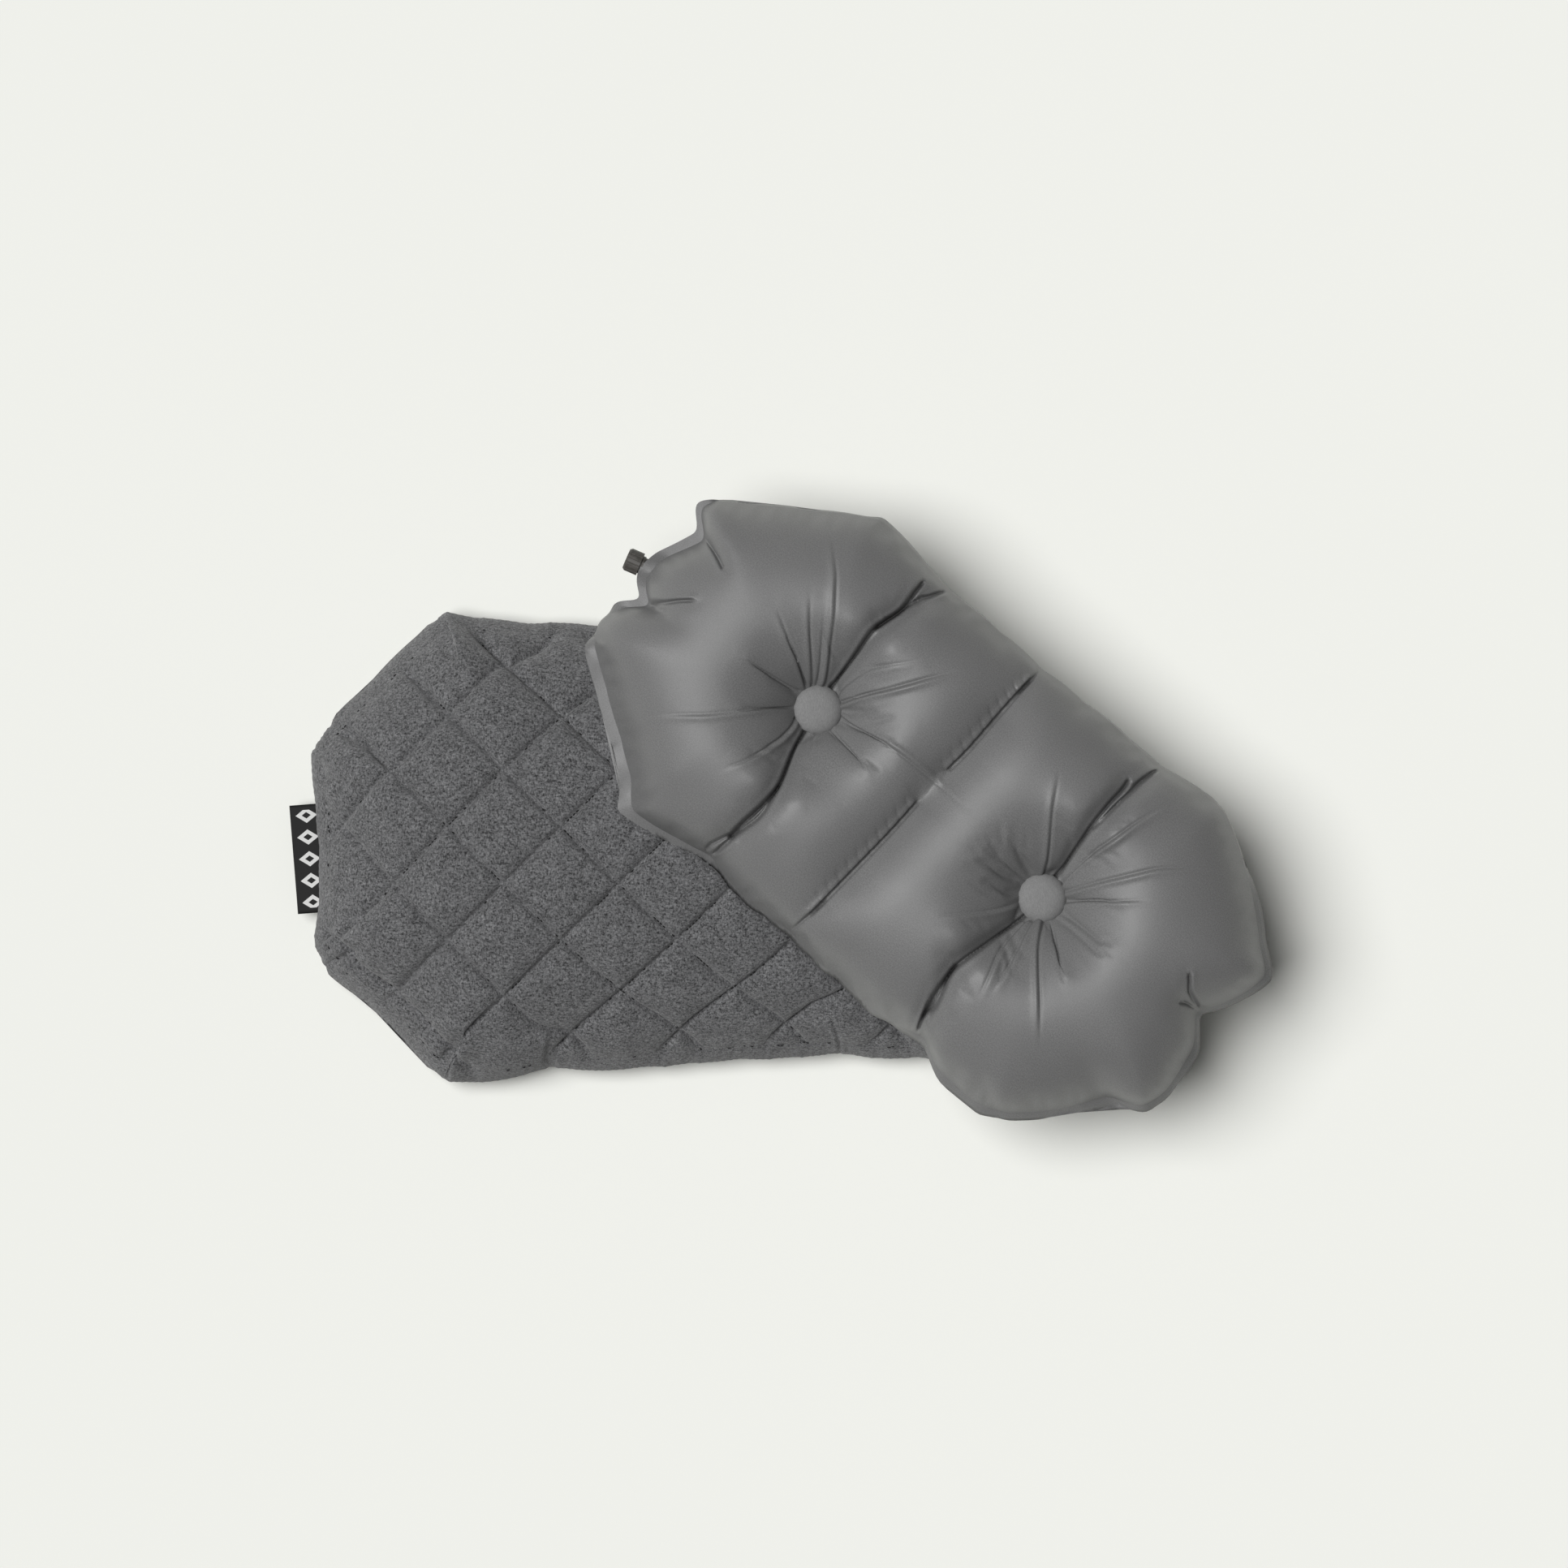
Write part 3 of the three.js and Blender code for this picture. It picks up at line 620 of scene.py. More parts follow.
def bladder_start(u, v, rim):
    """Half thickness that the skins start from at inflated places (u, v), rim being the way to the weld."""
    height = CROWN * quarter_round(rim / 0.095)
    place = np.stack([u, v], axis=1)
    for path in WEBS:
        near = line_distance(place, path)
        height = height - WEB_DEPTH * np.clip(1 - near / 0.042, 0, 1) ** 2 * np.clip(rim / 0.060, 0, 1)
    for path in FOLDS:
        near = line_distance(place, path)
        height = height - FOLD_DEPTH * np.clip(1 - near / 0.020, 0, 1) ** 2 * np.clip(rim / 0.030, 0, 1)
    away = np.hypot(np.abs(u) - TUFT_U, v)
    held = np.minimum(height, TUFT_HEIGHT)
    return np.where(away < 0.09, held + (height - held) * smooth((away - 0.018) / 0.055), height)


def between(angle, start, end, fade):
    """1 for angles from start to end, falling to 0 over `fade` inside each end."""
    return smooth((angle - start) / fade) * smooth((end - angle) / fade)


def flange_lean(angle):
    """How far the flange leans down at each angle round the bladder."""
    tucked = smooth((angle - 0.30) / 0.25) * smooth((2.98 - angle) / 0.12)
    tucked = np.maximum(tucked, between(angle, -3.04, -2.85, 0.07))
    wave = 0.6 * np.sin(angle * 23) + 0.4 * np.sin(angle * 41 + 1.3)
    lean = (LEAN["plain"] + LEAN["hanging"] * between(angle, -2.35, -0.75, 0.25)
            + LEAN["far_end"] * between(angle, -0.95, 0.55, 0.25)
            + LEAN["lifted"] * smooth((-2.30 - angle) / 0.25) + LEAN["wave"] * wave)
    return LEAN["tucked"] * tucked + (1 - tucked) * lean


def bladder_skins():
    """The simulated bladder: points, faces, flat cut places, and which points are of the weld or flange."""
    step = SIM_STEP
    weld = BLADDER_WELD
    edge = outline(CUT, FLANGE, step * 0.6)
    ring = np.linspace(0, 2 * math.pi, 25)[:-1]
    circle = np.stack([np.cos(ring), np.sin(ring)], axis=1)
    seats = [centre + BUTTON_SEAT * circle for centre in BUTTON_CENTRES]
    webs = [spaced(line, step / 2) for line in WEB_LINES]
    folds = []
    for line in FOLD_LINES:
        away_from_rim = line[inside_distance(line, weld) > 0.012]
        folds.append(spaced(away_from_rim, step / 2))
    sites = []
    for line in CREASE_LINES:
        sites += beside(line, step * 0.45, CREASE_ROWS)
    for line in WEB_LINES:
        sites += beside(line, step * 0.45, WEB_ROWS)

    def within(p):
        return inside_distance(p, edge) > step * 0.3

    def fine_at(p):
        near = np.minimum(*[np.linalg.norm(p - f, axis=1) for f in BUTTON_CENTRES]) < 0.085
        for path in webs + folds:
            near |= line_distance(p, path) < 0.018
        return near

    cut, faces = triangulate([weld, edge] + seats, webs + folds, sites, within, fine_at, step, seed=3)
    rim = inside_distance(cut, weld)
    welded = np.abs(rim) < ON_LINE
    flap = rim < ON_LINE
    count = len(cut)
    twin = np.where(flap, np.arange(count), count + np.cumsum(~flap) - 1)
    total = count + int((~flap).sum())
    inner = inside_distance(cut[faces].mean(axis=1), weld) > 0
    skin, flange = faces[inner], faces[~inner]

    place = settled(cut, weld, np.clip(rim, 0, None), PULLED, BLADDER_REACH, RIM_BLEND)
    u, v = place[:, 0], place[:, 1]
    height = bladder_start(u, v, np.clip(rim, 0, None) * 0.87)
    height[flap] = 0
    beyond = np.clip(-rim, 0, None)
    lean = flange_lean(np.arctan2(v, u))
    outward = place / np.linalg.norm(place, axis=1)[:, None]
    place = place - outward * (beyond * (1 - np.cos(lean)))[:, None]
    height = height - beyond * np.sin(lean)
    start = np.zeros((total, 3))
    flat = np.zeros((total, 3))
    for index, sign in ((np.arange(count), 1), (twin, -1)):
        start[index] = np.column_stack([place, np.where(flap, 1, sign) * height])
        flat[index, :2] = cut
    pinned = np.zeros(total)
    pressed = np.zeros(total)
    seat = np.minimum(*[np.linalg.norm(cut - f, axis=1) for f in BUTTON_CENTRES]) < BUTTON_SEAT * 1.02
    on_web = np.minimum(*[line_distance(cut, w) for w in webs]) < ON_LINE
    on_fold = np.min([line_distance(cut, f) for f in folds], axis=0) < ON_LINE
    for index in (np.arange(count), twin):
        pinned[index[on_fold & ~flap]] = FOLD_PIN
        pinned[index[seat | on_web | welded]] = 1
        pressed[index[~flap]] = 1
    faces_all = np.concatenate([skin, twin[skin][:, ::-1], flange])
    rest = inflate("bladder_cloth", start, flat, faces_all, pinned, pressed, pressure=6.0)
    return dict(rest=rest, cut=cut, skin=skin, flange=flange, twin=twin, flap=flap, rim=rim, flat=flat)


def crease_edges(mesh, loops):
    """Keeps the edges along these closed chains of vertices sharp when the mesh is subdivided."""
    chained = np.zeros(len(mesh.vertices), int)
    for number, loop in enumerate(loops, 1):
        chained[loop] = number
    ends = chained[column(mesh.edges, "vertices", 2, int)]
    sharp = (ends[:, 0] > 0) & (ends[:, 0] == ends[:, 1])
    layer = mesh.attributes.new("crease_edge", "FLOAT", "EDGE")
    layer.data.foreach_set("value", sharp.astype(np.float32))
    mark = mesh.attributes.get("sharp_edge") or mesh.attributes.new("sharp_edge", "BOOLEAN", "EDGE")
    mark.data.foreach_set("value", sharp)


def closed_bladder(sim):
    """Splits the weld and flange into an upper and a lower sheet, so that the whole is one closed skin."""
    rest, skin, flange, twin = sim["rest"], sim["skin"], sim["flange"], sim["twin"]
    count = len(sim["cut"])
    sheet = np.nonzero(sim["flap"])[0]
    normals = vertex_normals(rest, flange)
    below = {int(i): len(rest) + k for k, i in enumerate(sheet)}
    points = np.concatenate([rest, rest[sheet] - normals[sheet] * SHEET_GAUGE / 2])
    points[sheet] += normals[sheet] * SHEET_GAUGE / 2
    side = np.concatenate([np.ones(count), -np.ones(len(points) - count)])
    flat = np.concatenate([sim["flat"], sim["flat"][sheet]])
    lower = np.arange(len(rest))
    lower[:count] = twin
    under = np.array([below.get(int(i), int(i)) for i in lower])
    edges = {}
    for a, b, c in flange:
        for pair in ((a, b), (b, c), (c, a)):
            edges[frozenset(pair)] = None if frozenset(pair) in edges else pair
    faces = [tuple(f) for f in skin] + [tuple(f) for f in flange]
    faces += [tuple(under[f][::-1]) for f in skin] + [tuple(under[f][::-1]) for f in flange]
    on_edge = set(np.nonzero(sim["rim"] < -FLANGE * 0.98)[0].tolist())
    for pair in edges.values():
        if pair and pair[0] in on_edge and pair[1] in on_edge:
            faces.append((pair[1], pair[0], under[pair[0]], under[pair[1]]))
    welded = np.nonzero(np.abs(sim["rim"]) < ON_LINE)[0]
    rim_edge = np.nonzero(sim["rim"] < -FLANGE * 0.98)[0]
    chains = [welded, rim_edge, under[welded], under[rim_edge]]
    return points, faces, flat, side, chains


def crease_depths(flat, creases, lines, deep=None):
    """How far the creases push each flat place inward: all of them, or only the deep or shallow ones."""
    push = np.zeros(len(flat))
    for (depth, ridge, side, _), line in zip(creases, lines):
        if deep is not None and (depth > DEEP) != deep:
            continue
        low, high = line.min(axis=0) - CREASE["reach"], line.max(axis=0) + CREASE["reach"]
        near = np.nonzero(((flat > low) & (flat < high)).all(axis=1))[0]
        signed, share = along_line(flat[near], line)
        ending = smooth((1 - share) / 0.06 + 0.4) if depth > DEEP else smooth((1 - share) / 0.45)
        fade = smooth(share / 0.08 + 0.5) * ending
        groove = depth * MM * bell(signed, CREASE["width"])
        lip = ridge * MM * bell(signed * side - CREASE["ridge_out"], CREASE["ridge_width"])
        away = signed * side + CREASE["hollow_out"]
        hollow = CREASE["hollow"] * depth * MM * bell(away, CREASE["hollow_width"])
        push[near] += (groove - lip + hollow) * fade
    return push


def weld_puckers(flat, line):
    """The narrow channel of a centre weld, with short slanted creases along its left side."""
    signed, share = along_line(flat, line)
    length = np.linalg.norm(np.diff(line, axis=0), axis=1).sum()
    ends = smooth(share / 0.03) * smooth((1 - share) / 0.03)
    side = -signed if line[0, 1] > line[-1, 1] else signed
    channel = WEB_CHANNEL["depth"] * bell(signed, WEB_CHANNEL["width"])
    channel -= WEB_CHANNEL["ridge"] * bell(side - WEB_CHANNEL["ridge_out"], WEB_CHANNEL["ridge_width"])
    wave = np.cos((share * length + side * PUCKER["lean"]) * 2 * math.pi / PUCKER_PITCH)
    puckers = PUCKER["depth"] * np.clip(wave, -0.2, 1) ** 3
    return channel * ends + puckers * (bell(side - PUCKER["out"], PUCKER["reach"]) * ends)


def clear_valve(points, side, axis, base):
    """Lifts the skins round the valve's neck, so that a tunnel of cloth covers it."""
    radius = TUNNEL["radius"]
    reach = (points - base) @ axis
    lateral = (points - base) @ np.array((-axis[1], axis[0], 0.0))
    near = smooth((reach + TUNNEL["back"]) / TUNNEL["back_fade"]) * (reach < TUNNEL["front"])
    tube = np.sqrt(np.clip(radius ** 2 - lateral ** 2, 0, None))
    beyond = np.abs(lateral) - radius * 0.4
    skirt = radius * bell(beyond, TUNNEL["fade"])
    lift = np.maximum(tube, np.where(beyond > 0, skirt, 0)) * near
    height = points[:, 2] * side
    moved = points.copy()
    moved[:, 2] = np.where(near > 0, np.maximum(height, lift) * side, points[:, 2])
    return moved


def make_bladder():
    sim = bladder_skins()
    points, faces, flat, side, chains = closed_bladder(sim)
    inverse = BLADDER_FRAME.inverted()
    axis = np.array(inverse.to_3x3() @ VALVE_AXIS)
    base = np.array(inverse @ VALVE_BASE)
    points = clear_valve(points, side, axis, base)
    made = mesh_object("bladder_skin", points, faces, flat)
    crease_edges(made.data, chains)
    subdivide(made)
    mesh = made.data
    points, normals, cut = mesh_points(mesh), mesh_normals(mesh), mesh_flat(mesh)
    rim = inside_distance(cut, outline(CUT))
    away = np.minimum(*[np.linalg.norm(cut - centre, axis=1) for centre in BUTTON_CENTRES])
    room = smooth(rim / 0.006) * smooth((away - 0.010) / 0.006)
    push = crease_depths(cut, CREASES, CREASE_LINES, deep=False)
    for line in WEB_LINES:
        push += weld_puckers(cut, line)
    upper = points[:, 2] > 0
    slit = crease_depths(cut, CREASES, CREASE_LINES, deep=True)
    slit = np.minimum(slit * room, np.maximum(np.abs(points[:, 2]) - 0.0015, 0))
    points = points - normals * (push * room)[:, None]
    points[:, 2] -= np.where(upper, slit, -slit)
    set_points(mesh, points)
    lighten(made, points[:, 2] < -0.004)
    made.data.transform(BLADDER_FRAME)
    return made


# ---------------------------------------------------------------- cover

COVER_WELD = outline(COVER_CUT, 0, SIM_STEP * 0.75)
COVER_REACH = round_reach(COVER_SEAM)
COVER_BLEND = 0.09  # how far in from the seam its outline still shifts the cloth


def cover_cut(path):
    return unsettled(path, COVER_WELD, COVER_PULLED, COVER_REACH, COVER_BLEND)


COVER_CREASE_LINES = [rounded(cover_cut(metres(path))) for _, _, _, path in COVER_CREASES]


def quilt_distance(p):
    """Distance of drawn-in cut places from the nearest stitch line."""
    sides = []
    for sign in (1, -1):
        start = QUILT_CROSSING[0] - sign * QUILT_CROSSING[1]
        across = (p[:, 0] - sign * p[:, 1] - start) / math.sqrt(2)
        sides.append(np.abs((across + QUILT_SIDE / 2) % QUILT_SIDE - QUILT_SIDE / 2))
    return np.minimum(*sides)


def quilt_lines(step):
    """The stitch lines in the cut, as points about step apart that stay clear of the seam."""
    lines = []
    for sign in (1, -1):
        direction = np.array((1.0, sign)) / math.sqrt(2)
        across = np.array((1.0, -sign)) / math.sqrt(2)
        for k in range(-8, 15):
            at = np.arange(-0.6, 0.6, step)
            line = np.array(QUILT_CROSSING) + across * QUILT_SIDE * k + at[:, None] * direction
            line = line / COVER_PULLED
            line = line[inside_distance(line, COVER_WELD) > 0.004]
            if len(line) > 3:
                lines.append(line)
    return lines


def cover_skins():
    """The simulated cover: one outer skin of two panels, open at its mouth."""
    step = SIM_STEP * 1.25
    sites = []
    for line in quilt_lines(step * 0.6):
        sites += beside(line, step * 0.6, QUILT_ROWS)
    for line in COVER_CREASE_LINES:
        sites += beside(line, step * 0.4, COVER_CREASE_ROWS)
    for inset in SEAM_ROWS:
        sites += list(outline(COVER_CUT, -inset, step * 0.6))

    def within(p):
        return inside_distance(p, COVER_WELD) > step * 0.2

    def fine_at(p):
        return np.zeros(len(p), bool)

    cut, faces = triangulate([COVER_WELD], [], sites, within, fine_at, step, seed=5)
    rim = np.clip(inside_distance(cut, COVER_WELD), 0, None)
    seam = rim < ON_LINE
    place = settled(cut, COVER_WELD, rim, COVER_PULLED, COVER_REACH, COVER_BLEND)
    mouth = seam & (place[:, 0] > 0.25) & (np.abs(place[:, 1]) < MOUTH_HALF)
    joined = seam & ~mouth
    count = len(cut)
    twin = np.where(joined, np.arange(count), count + np.cumsum(~joined) - 1)
    total = count + int((~joined).sum())
    top = COVER_CROWN * quarter_round(rim * 0.92 / COVER_SWELL["top"])
    bottom = -(COVER_SEAM_Z - COVER_SWELL["clear"]) * quarter_round(rim * 0.92 / COVER_SWELL["bottom"])
    open_share = smooth((place[:, 0] - 0.20) / 0.07)
    open_share *= smooth((MOUTH_HALF + 0.014 - np.abs(place[:, 1])) / 0.022)
    lip = smooth((0.05 - rim) / 0.05) * open_share
    top = np.maximum(top * (1 - lip) + MOUTH_LIFT[0] * lip, 0)
    bottom = bottom * (1 - lip) + MOUTH_LIFT[1] * lip
    start = np.zeros((total, 3))
    flat = np.zeros((total, 3))
    pinned = np.zeros(total)
    for index, height in ((np.arange(count), top), (twin, bottom)):
        start[index] = np.column_stack([place, np.where(joined, 0, height)])
        flat[index, :2] = cut
    pinned[np.nonzero(seam)[0]] = 1
    pinned[twin[seam | (rim > COVER_SWELL["laid"])]] = 1
    faces_all = np.concatenate([faces, twin[faces][:, ::-1]])
    rest = inflate("cover_cloth", start, flat, faces_all, pinned, np.ones(total), pressure=2.5, bending=0.4)
    return dict(rest=rest, faces=faces_all, panel=len(faces), twin=twin, cut=cut, mouth=mouth, flat=flat)


def open_edges(faces):
    """The directed edges that only one face has."""
    found = {}
    for face in faces:
        for a, b in zip(face, np.roll(face, -1)):
            key = (min(a, b), max(a, b))
            found[key] = None if key in found else (a, b)
    return [edge for edge in found.values() if edge]


def below_bladder(bladder, points):
    """The height of the bladder's underside over each point, or far up where it isn't over it."""
    tree = BVHTree.FromObject(bladder, bpy.context.evaluated_depsgraph_get())
    hits = [tree.ray_cast(Vector((x, y, 0.0)), Vector((0, 0, 1)))[0] for x, y, _ in points]
    return np.array([1.0 if hit is None else hit.z for hit in hits])


def soft_lowest(a, b, ease):
    """The lower of two heights, with an eased turn between them."""
    return np.where(a < b, a, b) - ease / 4 * np.clip(1 - np.abs(a - b) / ease, 0, 1) ** 2


def vertices_of(mesh, slot):
    """True for the vertices of faces with this material slot."""
    slots = column(mesh.polygons, "material_index", kind=int)
    index = column(mesh.loops, "vertex_index", kind=int)
    totals = column(mesh.polygons, "loop_total", kind=int)
    found = np.zeros(len(mesh.vertices), bool)
    found[index[np.repeat(slots, totals) == slot]] = True
    return found


def make_cover(bladder, sim):
    """The padded shell: quilted top, plain back and a lining inside, joined round the mouth."""
    rest, faces, panel = sim["rest"], sim["faces"], sim["panel"]
    rim = np.clip(inside_distance(sim["flat"][:, :2], COVER_WELD), 0, None)
    full = np.where(np.arange(len(rest)) < len(sim["cut"]), COVER_WALL["top"], COVER_WALL["back"])
    wall = COVER_WALL["seam"] + (full - COVER_WALL["seam"]) * smooth(rim / COVER_WALL["reach"])
    inner = rest - vertex_normals(rest, faces) * wall[:, None]
    points = np.concatenate([rest, inner])
    shift = len(rest)
    lips = open_edges(faces.tolist())
    quads = [(b, a, a + shift, b + shift) for a, b in lips]
    made_faces = [tuple(f) for f in faces] + [tuple(f[::-1] + shift) for f in faces] + quads
    made = mesh_object("cover_shell", points, made_faces, np.concatenate([sim["flat"]] * 2))
    slots = [0] * panel + [1] * (len(faces) - panel) + [2] * (len(faces) + len(quads))
    made.data.polygons.foreach_set("material_index", slots)
    subdivide(made)
    mesh = made.data
    mesh.transform(COVER_FRAME)
    points, normals, cut = mesh_points(mesh), mesh_normals(mesh), mesh_flat(mesh)
    outer_top = vertices_of(mesh, 0)
    inner_top = vertices_of(mesh, 2) & ~outer_top & (normals[:, 2] < 0) & (points[:, 2] > COVER_SEAM_Z)
    rim = np.clip(inside_distance(cut, COVER_WELD), 0, None)
    nearest = quilt_distance(cut * COVER_PULLED)
    puff = QUILT_PUFF * (1 - np.exp(-nearest / QUILT_GROOVE["soft"]))
    puff -= QUILT_GROOVE["depth"] * bell(nearest, QUILT_GROOVE["width"])
    swell = (puff - QUILT_PUFF * 0.6) * smooth((rim - 0.001) / 0.011)
    swell -= SEAM_GROOVE["depth"] * bell(rim - SEAM_INSET, SEAM_GROOVE["width"])
    swell -= crease_depths(cut, COVER_CREASES, COVER_CREASE_LINES)
    points = points + normals * np.where(outer_top, swell, 0)[:, None]
    height = points[:, 2]
    ceiling = below_bladder(bladder, points) - UNDER_BLADDER["gap"]
    height = np.where(outer_top, soft_lowest(height, ceiling, UNDER_BLADDER["ease"]), height)
    ceiling = np.maximum(ceiling - COVER_WALL["top"], 0.008)
    height = np.where(inner_top, np.minimum(height, ceiling), height)
    points[:, 2] = np.maximum(height, 0.0004)
    set_points(mesh, points)
    lighten(made, ~outer_top)
    return made


class Surface:
    """Looks up places on a piece's outer top by their place in the flat cut."""

    def __init__(self, piece, slot):
        mesh = piece.data
        flat, points = mesh_flat(mesh), mesh_points(mesh)
        self.points, self.normals = points, mesh_normals(mesh)
        self.faces = [tuple(p.vertices) for p in mesh.polygons if p.material_index == slot]
        self.tree = BVHTree.FromPolygons([Vector((u, v, 0)) for u, v in flat], self.faces)
        self.flat = flat

    def at(self, place):
        """The point and normal over a flat place."""
        near, _, found, _ = self.tree.find_nearest(Vector((place[0], place[1], 0)))
        index = list(self.faces[found])
        share = np.array(poly_3d_calc([Vector((*self.flat[k], 0)) for k in index], near))
        normal = share @ self.normals[index]
        return share @ self.points[index], normal / np.linalg.norm(normal)


def stitch(centre, along, up, points, faces):
    """Adds one short, fat thread that dips into the cloth at both ends."""
    centre = centre + up * STITCH["lift"]
    across = np.cross(up, along)
    first = len(points)
    half, wide = STITCH["length"] / 2, STITCH["width"] / 2
    for place, lift in ((-1, -0.4), (-0.5, 0.5), (0.5, 0.5), (1, -0.4)):
        thick = 0.35 if abs(place) == 1 else 1
        for side, rise in ((-1, 0), (0, 0.9), (1, 0), (0, -0.9)):
            points.append(centre + along * half * place + across * wide * side * thick
                          + up * (wide * rise * thick + wide * lift))
    faces.extend(tube_faces(3, 4, first))


def stitch_row(surface, line, points, faces):
    """Stitches along a line of flat places."""
    row = [surface.at(p) for p in line]
    for k in range(len(row) - 1):
        (here, up), (there, _) = row[k], row[k + 1]
        along = there - here
        length = np.linalg.norm(along)
        if length < 1e-5 or length > STITCH["pitch"] * 3:
            continue
        along = along / length
        up = up - along * (up @ along)
        up /= np.linalg.norm(up)
        stitch((here + there) / 2, along, up, points, faces)


def make_stitches(cover):
    """The quilting's threads, and the row beside the side seam."""
    surface = Surface(cover, 0)
    points, faces = [], []
    for line in quilt_lines(STITCH["pitch"]):
        stitch_row(surface, line, points, faces)
    ring = outline(COVER_CUT, -SEAM_INSET, STITCH["pitch"])
    stitch_row(surface, np.concatenate([ring, ring[:1]]), points, faces)
    return mesh_object("quilting_thread", points, faces)


def make_hem(name, lip):
    """A folded hem: a flat band of cloth round one lip of the mouth."""
    line = spaced(lip, 0.004)
    run = np.gradient(line, axis=0)
    run /= np.linalg.norm(run, axis=1)[:, None]
    inward = np.array((-1.0, 0.0, 0.0))
    points = []
    sections = 14
    for k, (place, along) in enumerate(zip(line, run)):
        into = inward - along * (inward @ along)
        into /= np.linalg.norm(into)
        up = np.cross(into, along)
        up = up if up[2] > 0 else -up
        ease = min(1.0, 0.35 + min(k, len(line) - 1 - k) * 0.25)
        for j in range(sections):
            a = 2 * math.pi * j / sections
            wide = math.copysign(abs(math.cos(a)) ** 0.6, math.cos(a)) * HEM["width"] / 2
            thick = math.copysign(abs(math.sin(a)) ** 0.8, math.sin(a)) * HEM["gauge"] / 2 * ease
            points.append(place + into * (wide + HEM["width"] / 2 - HEM["proud"]) + up * thick)
    made = mesh_object(name, points, tube_faces(len(line) - 1, sections))
    subdivide(made)
    face_outward(made)
    return made


def make_hems(sim):
    """Both lips' hems, along the simulated edges of the mouth."""
    lip = np.nonzero(sim["mouth"])[0]
    lip = lip[np.argsort(sim["cut"][lip, 1])]
    lips = {"mouth_hem_upper_band": lip, "mouth_hem_lower_band": sim["twin"][lip]}
    place = np.array(COVER_FRAME.translation)
    return [make_hem(name, sim["rest"][index] + place) for name, index in lips.items()]


def make_label():
    """A folded loop of woven tape, sewn into the side seam by its ends."""
    low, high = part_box("side_label")
    reach, length = high.x - low.x + LABEL["tuck"], high.y - low.y
    centre = (low + high) / 2
    gauge = LABEL["gauge"]
    profile = []
    steps = 10
    for k in range(steps + 1):
        profile.append((-reach / 2 + reach * k / steps, gauge / 2, 0.45 * k / steps))
    for k in range(1, 6):
        a = math.pi / 2 - math.pi * k / 6
        profile.append((reach / 2 + gauge / 2 * math.cos(a), gauge / 2 * math.sin(a), 0.5))
    for k in range(steps + 1):
        profile.append((reach / 2 - reach * k / steps, -gauge / 2, 0.55 + 0.45 * k / steps))
    rows = 28
    points, flat = [], []
    for r in range(rows + 1):
        y = -length / 2 + length * r / rows
        for out, up, across in profile:
            share = (out + reach / 2) / reach
            droop = LABEL["wave"] * math.sin(y * 62) * share - LABEL["droop"] * share ** 2
            points.append((LABEL["tuck"] / 2 - out, y, up + droop))
            flat.append((across, r / rows))
    faces = tube_faces(rows, len(profile))
    made = mesh_object("side_label_tape", points, faces, np.array(flat))
    made.data.transform(Matrix.Translation(centre) @ Matrix.Rotation(LABEL["tilt"], 4, "Z"))
    face_outward(made)
    return made


# ---------------------------------------------------------------- buttons


def make_button(node, upper):
    """A cloth-covered dome, with the cloth's gathers round its edge."""
    low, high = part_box(node)
    centre = (low + high) / 2
    radius, height = (high.x - low.x) / 2, high.z - low.z
    turns, rings = BUTTON["turns"], BUTTON["rings"]
    points = []
    random = np.random.default_rng(11 if centre.x < BLADDER_FRAME.translation.x else 12)
    phase = random.uniform(0, 2 * math.pi, 3)
    for r in range(rings):
        share = r / rings
        away = radius * math.cos(share * math.pi / 2) ** BUTTON["belly"]
        rise = height * math.sin(share * math.pi / 2) ** BUTTON["dome"]
        for k in range(turns):
            a = 2 * math.pi * k / turns
            gather = 0.00022 * math.sin(17 * a + phase[0]) + 0.00014 * math.sin(29 * a + phase[1])
            edge = away + gather * (1 - share) ** 2
            dent = 0.00012 * math.sin(5 * a + phase[2]) * math.sin(math.pi * share)
            points.append((edge * math.cos(a), edge * math.sin(a), rise + dent))
    top, tucked, bottom = len(points), len(points) + 1, len(points) + 1 + turns
    points.append((0, 0, height))
    points += [(x * BUTTON["tuck"], y * BUTTON["tuck"], 0.0) for x, y, _ in points[:turns]]
    points.append((0, 0, 0.0))
    last = top - turns
    pairs = [(k, (k + 1) % turns) for k in range(turns)]
    faces = rows_of_faces(rings - 1, turns)
    faces += [(last + a, last + b, top) for a, b in pairs]
    faces += [(a, tucked + a, tucked + b, b) for a, b in pairs]
    faces += [(tucked + a, bottom, tucked + b) for a, b in pairs]
    made = mesh_object(node.replace("button_cloth", "covered_button"), points, faces)
    flip = Matrix.Identity(4) if upper else Matrix.Rotation(math.pi, 4, "X")
    made.data.transform(Matrix.Translation((centre.x, centre.y, low.z if upper else high.z)) @ flip)
    face_outward(made)
    return made


# ---------------------------------------------------------------- materials


